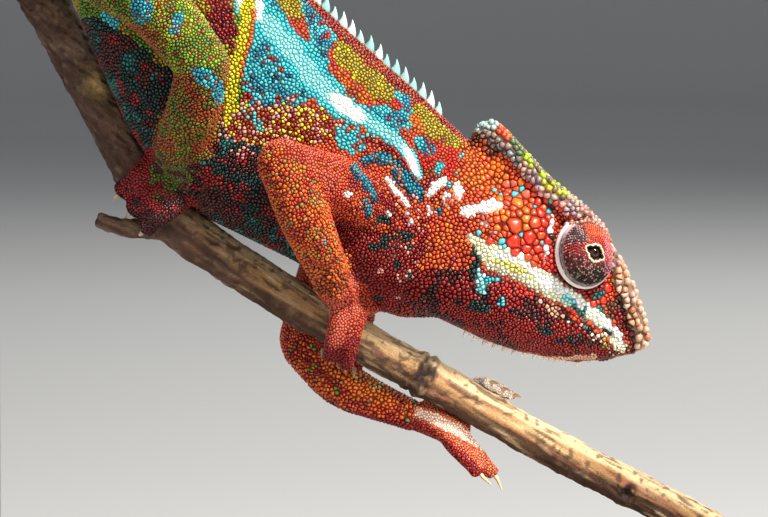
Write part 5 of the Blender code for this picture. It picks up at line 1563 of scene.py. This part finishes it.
def add_lids(side, flip, random):
    """The lids as one skin, from inside the opening's rim to the turret's foot in the head."""
    edge = opening_at(LID_TURNS)
    rings, polars = [], []
    for sink, share in ((1.5, 0.72), (0.9, 0.90), (0.35, 0.98)):
        rings.append(turret_point(side, edge * share, LID_TURNS, np.full(LID_ROUND, -sink))[0])
        polars.append(edge * share)
    for share in np.linspace(0.0, 1.0, LID_STEPS):
        polar = edge + (FOOT_AT - edge) * share
        rim_roll = 0.16 * np.exp(-(((polar - edge - 2.4) / 2.2) ** 2))
        proud = ring_relief(polar, LID_TURNS) + rim_roll - 0.10
        rings.append(turret_point(side, polar, LID_TURNS, proud)[0])
        polars.append(polar)
    mesh = revolved(f"eye_lids_{side}", rings, flip)
    points, polar, turn = np.concatenate(rings), np.concatenate(polars), np.tile(LID_TURNS, len(rings))
    beaded = (polar > opening_at(turn) + 4.0) & (polar < BEADED_TO - 1.0)
    tint = turret_tint(points, polar, turn, random, False)
    # The lid skin under the beads is darker, as painted shade between them.
    tinted(mesh, tint * (1.0 - 0.55 * beaded)[:, None])
    lids = add_piece(f"eye_lids_{side}", mesh, lid_material)
    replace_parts(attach(lids, "root"), f"eye_turret_{side}")


def add_beads(side, random):
    """Beads in rings round the opening, a little larger towards the foot."""
    rows = []
    polar = OPENING + 5.6
    while polar < BEADED_TO + 8.0:
        size = 0.20 + 0.09 * (polar - OPENING) / (BEADED_TO - OPENING)
        round_turret = 2.0 * math.pi * 6.5 * math.sin(math.radians(polar))  # mm at this ring
        count = int(round_turret / (size * BEADS_APART))
        turn = (np.arange(count) + random.random()) * 2.0 * math.pi / count
        ragged = polar + smooth_rise(28.0, 16.0, polar) * (opening_at(turn) - OPENING)
        ragged += random.normal(0, 0.25, count)
        kept = (polar < BEADED_TO) | (brow_side(turn) > 0.6)
        half = size * (0.9 + 0.25 * random.random(int(kept.sum())))
        rows.append((ragged[kept], turn[kept], half))
        polar += math.degrees(size * RINGS_APART / EYE_RADII[1])
    polar, turn, half = np.concatenate(rows, axis=1)
    points, out = turret_point(side, polar, turn, np.full(len(polar), -0.06))
    tint = turret_tint(points, polar, turn, random, True)
    tint *= 0.85 + 0.3 * random.random((len(points), 1))
    angles = np.arange(6) * math.pi / 3.0 + random.random((len(points), 1))
    reach = np.repeat(half[:, None], 6, axis=1)
    patch = 0.5 + LID_PATCH * polar[:, None] * np.stack([np.cos(turn), np.sin(turn)], axis=1)
    dots = domes(points, out, angles, reach, half * 0.75, BEAD, tint, EYE_BEAD_PAINTED_LIGHT, patch)
    beads = add_piece(f"eye_beads_{side}", solid_mesh("eye_beads", [dots]), lid_material)
    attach(beads, "root")


def add_knobs(side, random):
    """Pinkish-grey knobs over the front and top of the foot, in line with the brow's ridge, and small
    orange ones over the turret's inner side, down to the forehead."""
    rows = []
    for number, polar in enumerate((77.0, 86.0, 95.0, 104.0)):
        rows += [(polar, turn, 0.50, 1.3) for turn in np.arange(-24.0, 122.0, 9.6) + 4.8 * (number % 2)]
    for number, polar in enumerate(np.arange(111.0, 156.0, 5.6)):
        step = 5.0 / math.sin(math.radians(polar))
        turns = np.arange(-60.0, 170.0, step) + 0.5 * step * (number % 2)
        rows += [(polar, turn, 0.36, 0.8) for turn in turns]
    for polar in (92.0, 98.0, 104.0):
        rows += [(polar, turn, 0.34, 0.8) for turn in np.arange(124.0, 176.0, 5.2)]
    polar, turn, half, rise = np.array(rows).T
    count = len(rows)
    turn = np.radians(turn + random.normal(0.0, 1.0, count))
    polar = polar + random.normal(0.0, 0.8, count)
    points, out = turret_point(side, polar, turn, np.full(count, -0.15))
    half = half * (0.9 + 0.3 * random.random(count))
    inner = polar + random.normal(0.0, 3.0, count) > 109.0
    inner_tint = np.array(FOREHEAD_PAINTS)[random.integers(0, 4, count)]
    brow_tint = np.array(BROW_PAINTS)[random.integers(0, 4, count)]
    tint = np.where(inner[:, None], inner_tint, brow_tint)
    angles = np.arange(8) * math.pi / 4.0 + random.random((count, 1))
    reach = half[:, None] * (0.92 + 0.16 * random.random((count, 8)))
    patch = 0.5 + KNOB_PATCH * polar[:, None] * np.stack([np.cos(turn), np.sin(turn)], axis=1)
    made = domes(points, out, angles, reach, half * rise, PLATE, tint, PLATE_PAINTED_LIGHT, patch)
    knobs = add_piece(f"brow_knobs_{side}", solid_mesh("brow_knobs", [made]), scale_face)
    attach(knobs, "root")


def add_globe(side, flip):
    """The globe behind the opening, wet and dark brown, with a thin bronze ring round its pupil."""
    middle, axes = eye_frame(side)
    seat = middle + axes[2] * (EYE_RADII[2] - 2.15)
    turns = LID_TURNS[::2]
    rings, tints = [], []
    for polar in np.radians(np.linspace(4.0, 172.0, 24)):
        across, up = np.sin(polar) * np.cos(turns), np.sin(polar) * np.sin(turns)
        ball = np.stack([across, up, np.full(len(turns), np.cos(polar))], axis=1)
        bulge = GLOBE + GLOBE_BULGE * math.exp(-((polar / 0.45) ** 2))
        rings.append(seat + ball * bulge @ axes)
        degrees = math.degrees(polar)
        colour = paint(8, 6, 6) if degrees < 17 else paint(70, 42, 20) if degrees < 24 else paint(40, 20, 14)
        tints.append(np.tile(colour, (len(turns), 1)))
    mesh = revolved(f"eye_globe_{side}", rings, flip)
    tinted(mesh, np.concatenate(tints))
    globe = add_piece(f"eye_globe_{side}", mesh, globe_material)
    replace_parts(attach(globe, "root"), f"eyeball_{side}")


for side, sign in EYE_SIDES.items():
    random = np.random.default_rng(31)
    add_lids(side, sign > 0, random)
    add_beads(side, random)
    add_knobs(side, random)
    add_globe(side, sign > 0)


# -------------------- the spines
# A comb of soft, flattened, mint-white spines runs from the nape to the tail, and a shorter row of
# pinkish-white ones hangs from the chin. They are skin, swept a little towards the tail.

# A spine's outline from foot to tip, as shares of its width and height, and each level's painted light:
# painted shade at the foot, lighter to a painted highlight at the tip.
SPINE = ((1.0, -0.30), (0.94, 0.05), (0.70, 0.32), (0.44, 0.60), (0.20, 0.85), (0.0, 1.0))
SPINE_PAINTED_LIGHT = (0.45, 0.62, 0.86, 1.0, 1.12, 1.2)
SPINE_SIDES = 12
spine_material = coat_material("spine_skin", 0.44, 0.05, 3000.0)
skin_finder = BVHTree.FromPolygons([Vector(place) for place in skin.points], skin.faces.tolist())


def spine_row(chosen, order, colours, height_share, half_length, half_width, sweep):
    """Spines over the CAD's own tips, in their order along the body. Lengths are in mm."""
    tips = sorted(chosen, key=order)
    feet, outs, heights = [], [], []
    for _, tip, out, height in tips:
        foot, normal, _, _ = skin_finder.find_nearest(tip - out * height)
        feet.append(np.array(foot))
        outs.append(np.array((normal + out).normalized()))
        heights.append(max(height, 1.0) * height_share)
    feet, outs, heights = np.array(feet), np.array(outs), np.array(heights)
    run = unit(np.gradient(feet, axis=0))
    random = np.random.default_rng(41)
    first, second = frames_at(outs)
    lie = np.arctan2((run * second).sum(axis=1), (run * first).sum(axis=1))
    local = np.arange(SPINE_SIDES) * 2.0 * math.pi / SPINE_SIDES
    angles = lie[:, None] + local
    oval = half_length * half_width / np.hypot(half_width * np.cos(local), half_length * np.sin(local))
    size = np.clip(heights / (3.0 * height_share), 0.45, 1.0)
    reach = oval[None, :] * size[:, None]
    lean = run * sweep + np.cross(run, outs) * random.normal(0, 0.04, (len(feet), 1))
    tint = np.array(colours)[random.integers(0, len(colours), len(feet))]
    return domes(feet, outs, angles, reach, heights, SPINE, tint, SPINE_PAINTED_LIGHT, lean=lean)


def tail_order(row):
    """How far along the back a spine stands, from the nape to the end of the coil."""
    name, tip = row[0], row[1]
    if name in ("trunk", "neck"):
        return -tip.x
    if name == "tail_base":
        return 100.0 - tip.x
    return 400.0 + math.atan2(tip.z - coil_middle.z, tip.x - coil_middle.x) % (2.0 * math.pi) * 30.0


MINT = (paint(186, 232, 226), paint(160, 222, 214), paint(214, 240, 236))
back_tips = [row for row in spine_tips if row[0] != "lower_jaw"]
back_form = {"height_share": 0.72, "half_length": 1.30, "half_width": 0.62, "sweep": 0.60}
back = spine_row(back_tips, tail_order, MINT, **back_form)
back_piece = add_piece("spines_of_back", solid_mesh("spines_of_back", [back]), spine_material)
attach(back_piece, "root")
throat_tips = sorted((row for row in spine_tips if row[0] == "lower_jaw"), key=lambda row: -row[1].x)
for fore, rear in zip(throat_tips[:], throat_tips[1:]):
    tip, out, height = ((one + other) / 2 for one, other in zip(fore[1:], rear[1:]))
    throat_tips.append(("lower_jaw", tip, out, 0.75 * height))
throat_colours = (paint(250, 238, 220), paint(240, 206, 186), paint(252, 246, 232))
throat_form = {"height_share": 1.12, "half_length": 1.25, "half_width": 0.66, "sweep": 0.1}
throat = spine_row(throat_tips, lambda row: -row[1].x, throat_colours, **throat_form)
throat_piece = add_piece("spines_of_throat", solid_mesh("spines_of_throat", [throat]), spine_material)
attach(throat_piece, "root")


# -------------------- the claws
# Each toe ends in one small, curved, pointed claw of pale brown horn, faintly streaked.

# Its root is carried this far into the toe, in mm, and it is made this much larger than its solid.
CLAW_ROOT, CLAW_SWELL = 1.3, 1.15
claw_material, claw_shader, claw_start = new_material("claw_horn", 0.32, Specular_IOR_Level=0.6)
claw_grain = grain_of(claw_start, place_of(claw_start), 2600.0, 3.0)
claw_colour = claw_start.layer(paint(236, 210, 170), paint(186, 146, 102), claw_grain)
finish_with(claw_shader, claw_colour, claw_grain * 0.25 + 0.22, claw_grain, 0.03 * MM)

for limb in ("hand_right", "hand_left", "foot_right", "foot_left"):
    names = [f"claw_{limb}_{n}" for n in range(1, 6)]
    made = bmesh.new()
    for name in names:
        claw = welded(name)
        centre = sum((vertex.co for vertex in claw.verts), Vector()) / len(claw.verts)
        tip = max(claw.verts, key=lambda vertex: (vertex.co - centre).length).co.copy()
        inward = (centre - tip).normalized()
        for vertex in claw.verts:
            offset = vertex.co - centre
            rooted = CLAW_ROOT * MM if offset.dot(inward) > 0.3 * (centre - tip).length else 0.0
            vertex.co = centre + offset * CLAW_SWELL + inward * rooted
        made.from_mesh(mesh_of(name + "_draft", claw))
    piece = add_piece(f"claws_{limb}", made, claw_material)
    smooth = piece.modifiers.new("rounded", "SUBSURF")
    smooth.levels = smooth.render_levels = 2
    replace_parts(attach(piece, "root"), *names)


# -------------------- the branch
# The perch is a cut length of dry, finger-thin branch with a side twig. Its bark is split along its
# length, with leaf scars, and a leaf ring at one dark knot. Painted light makes its top pale tan, and
# painted shade makes it dark below and at its left end, under the body.

# Knots and scars: along, up, half size and depth, in mm.
KNOTS = ((17.8, 69.0, 2.6, 1.0), (58.4, 45.2, 1.8, 0.9), (-47.8, 126.6, 3.2, 0.5), (-21.6, 92.0, 0.7, 0.2))
KNOT_SLOPE, BRANCH_SLOPE = 57.0, math.radians(33.0)
BARK_VOXEL = 0.42
bark_run = np.array((math.cos(BRANCH_SLOPE), 0.0, -math.sin(BRANCH_SLOPE)))
bark_rise = np.array((math.sin(BRANCH_SLOPE), 0.0, math.cos(BRANCH_SLOPE)))

bark = Net(remeshed(welded("perch_branch"), BARK_VOXEL))
bark.keep_largest()
bark.ease(6)
bark_normals = bark.normals()
# The same places drawn together along the branch, so that noise in them runs in long fibres.
bark_frame = bark.points - np.outer(bark.points @ bark_run, bark_run) * 0.86
ridges = mottle(bark_frame, 1.0, 91) * 0.6 + mottle(bark_frame, 0.5, 92) * 0.4
lumps = mottle(bark.points, 4.0, 93)
cracks = smooth_rise(0.44, 0.36, ridges) * smooth_rise(0.40, 0.55, mottle(bark.points, 3.0, 90))
relief = 0.40 * (ridges - 0.5) + 0.50 * (lumps - 0.5) - 0.16 * cracks
relief += 0.28 * (mottle(bark.points, 0.9, 89) - 0.5) + 0.22 * (mottle(bark_frame, 0.42, 88) - 0.5)
flat = bark.points[:, [0, 2]]
knot_share = np.zeros(len(bark.points))
for u, w, half, depth in KNOTS:
    gap = spot(flat, u, w, half, half * 0.72, KNOT_SLOPE)
    relief += depth * (0.55 * np.exp(-((gap - 1.15) ** 2) * 4.0) - 0.6 * np.exp(-(gap**2) * 2.5))
    relief += depth * 1.1 * (mottle(bark.points, 0.9, 94) - 0.5) * np.exp(-(gap**2) * 0.8)
    knot_share = np.maximum(knot_share, smooth_rise(1.5, 0.9, gap) * (0.4 + 0.6 * depth))
# An old leaf ring runs round the branch at its main knot: a dark crack between two low lips.
ring = (bark.points - (KNOTS[0][0] - 1.0, 0.0, KNOTS[0][1])) @ bark_run
ring += 2.2 * (mottle(bark.points, 1.5, 87) - 0.5)
relief += 0.40 * np.exp(-(((np.abs(ring) - 1.3) / 0.7) ** 2)) - 0.45 * np.exp(-((ring / 0.45) ** 2))
ring_share = np.exp(-((ring / 0.55) ** 2)) * smooth_rise(0.25, 0.5, mottle(bark.points, 2.0, 86))
bark.points += bark_normals * relief[:, None]

# How deep the painted shade under the body is, rising towards the left end.
shaded = smooth_rise(-14.0, -40.0, bark.points[:, 0])
facing_up = bark_normals @ bark_rise + 0.5 * (mottle(bark_frame, 1.2, 99) - 0.5)
# How much cream painted light the bark's top takes, rising towards the right.
painted_sunlight = np.interp(bark.points[:, 0], (-40.0, -10.0, 20.0), (0.3, 0.65, 0.8))
rusty = smooth_rise(0.50, 0.66, mottle(bark_frame, 1.5, 95)) * smooth_rise(0.75, 0.3, facing_up)
bud = np.exp(-(spot(flat, -47.8, 126.6, 2.6, 2.0, -60.0) ** 2))
wood = np.tile(paint(176, 132, 84), (len(bark.points), 1))
for colour, share in (
    (paint(150, 92, 62), rusty * 0.85),
    # Cream on the upward face is painted light, and near-black on the underside is painted shade.
    (paint(240, 210, 160), smooth_rise(0.22, 0.68, facing_up) * painted_sunlight),
    (paint(50, 34, 26), smooth_rise(0.0, -0.45, facing_up) * 0.85),
    # Dark brown at the left end is painted shade under the body, with mauve-grey patches in it as a painted
    # sheen.
    (paint(84, 60, 50), shaded * 0.82),
    (paint(150, 118, 108), smooth_rise(0.55, 0.8, mottle(bark.points, 7.0, 96)) * shaded * 0.6),
    # Darker in the grooves between the fibres as painted shade, and pale on the raised ridges as a painted
    # highlight that dims in the painted shade.
    (paint(96, 62, 42), smooth_rise(0.48, 0.30, ridges) * 0.6),
    (paint(46, 30, 22), cracks * 0.5),
    (paint(230, 196, 150), smooth_rise(0.60, 0.78, ridges) * 0.5 * (1.0 - 0.7 * shaded)),
    (paint(40, 26, 20), knot_share * smooth_rise(0.30, 0.46, mottle(bark.points, 0.9, 97))),
    (paint(34, 22, 18), ring_share * 0.9),
    (paint(196, 160, 96), bud * 0.9),
    (paint(60, 42, 30), smooth_rise(0.70, 0.78, mottle(bark.points, 1.1, 98)) * 0.7),
):
    wood = wood + (np.array(colour) - wood) * np.clip(share, 0.0, 1.0)[:, None]

bark_material, bark_shader, bark_start = new_material("dry_bark", 0.78)
bark_place = place_of(bark_start)
along = bark_start.vector("DOT_PRODUCT", bark_place, tuple(bark_run), out="Value")
bark_fibres = bark_start.vector(
    "SUBTRACT", bark_place, bark_start.vector("MULTIPLY", tuple(bark_run * 0.9), along)
)
bark_strands = grain_of(bark_start, bark_fibres, 1900.0, 4.0, 0.6)
bark_fine = grain_of(bark_start, bark_place, 2400.0, 5.0, 0.65)
bark_broad = grain_of(bark_start, bark_place, 420.0, 4.0)
# Darker where the strands and the fine grain of the bump are low: painted shade in their hollows.
bark_colour = bark_start.layer(tint_of(bark_start), paint(92, 58, 42), (0.52 - bark_strands).clamp() * 2.2)
bark_colour = bark_start.layer(bark_colour, paint(70, 48, 36), (0.50 - bark_fine).clamp() * 2.0)
bark_colour = bark_start.layer(bark_colour, paint(224, 190, 146), (bark_broad - 0.56).clamp() * 0.9)
finish_with(bark_shader, bark_colour, bark_fine * 0.3 + 0.6, bark_fine + bark_strands * 0.6, 0.35 * MM, 0.9)
branch_piece = add_piece("branch_bark", bark.mesh("branch_bark", wood), bark_material)
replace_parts(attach(branch_piece, "root"), "perch_branch")


# -------------------- the display stand
# A plain oblong board of dark stained wood lies under the branch, and two brushed steel rods stand in
# it and hold the branch from below. They keep the solids' own shape and only take their finish here.
board_material, board_shader, board_start = new_material("stained_board", 0.45)
board_stretch = board_start.vector("MULTIPLY", place_of(board_start), (0.06, 1.0, 1.0))
board_wave = {"Vector": board_stretch, "Scale": 190.0, "Detail": 5.0, "Roughness": 0.6, "Distortion": 0.6}
board_grain = board_start.add("ShaderNodeTexNoise", {"noise_dimensions": "3D"}, board_wave)
board_pores = grain_of(board_start, board_stretch, 2600.0, 2.0)
board_colour = board_start.layer(paint(96, 70, 52), paint(64, 44, 32), (board_grain - 0.35).clamp() * 2.0)
board_colour = board_start.layer(board_colour, paint(38, 26, 20), (0.42 - board_pores).clamp() * 2.4)
finish_with(board_shader, board_colour, board_grain * 0.25 + 0.38, board_pores, 0.05 * MM, 0.4)

rod_material, rod_shader, rod_start = new_material("brushed_steel", 0.3, Metallic=1.0)
rod_stretch = rod_start.vector("MULTIPLY", place_of(rod_start), (1.0, 1.0, 0.03))
rod_brush = grain_of(rod_start, rod_stretch, 5200.0, 2.0)
rod_colour = rod_start.layer((0.56, 0.57, 0.58), (0.40, 0.41, 0.42), rod_brush)
finish_with(rod_shader, rod_colour, rod_brush * 0.25 + 0.18, rod_brush, 0.01 * MM, 0.3)

finishes = {"stand_base": board_material, "stand_rod_1": rod_material, "stand_rod_2": rod_material}
for name, material in finishes.items():
    node_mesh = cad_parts[name].data
    node_mesh.materials.clear()
    node_mesh.materials.append(material)
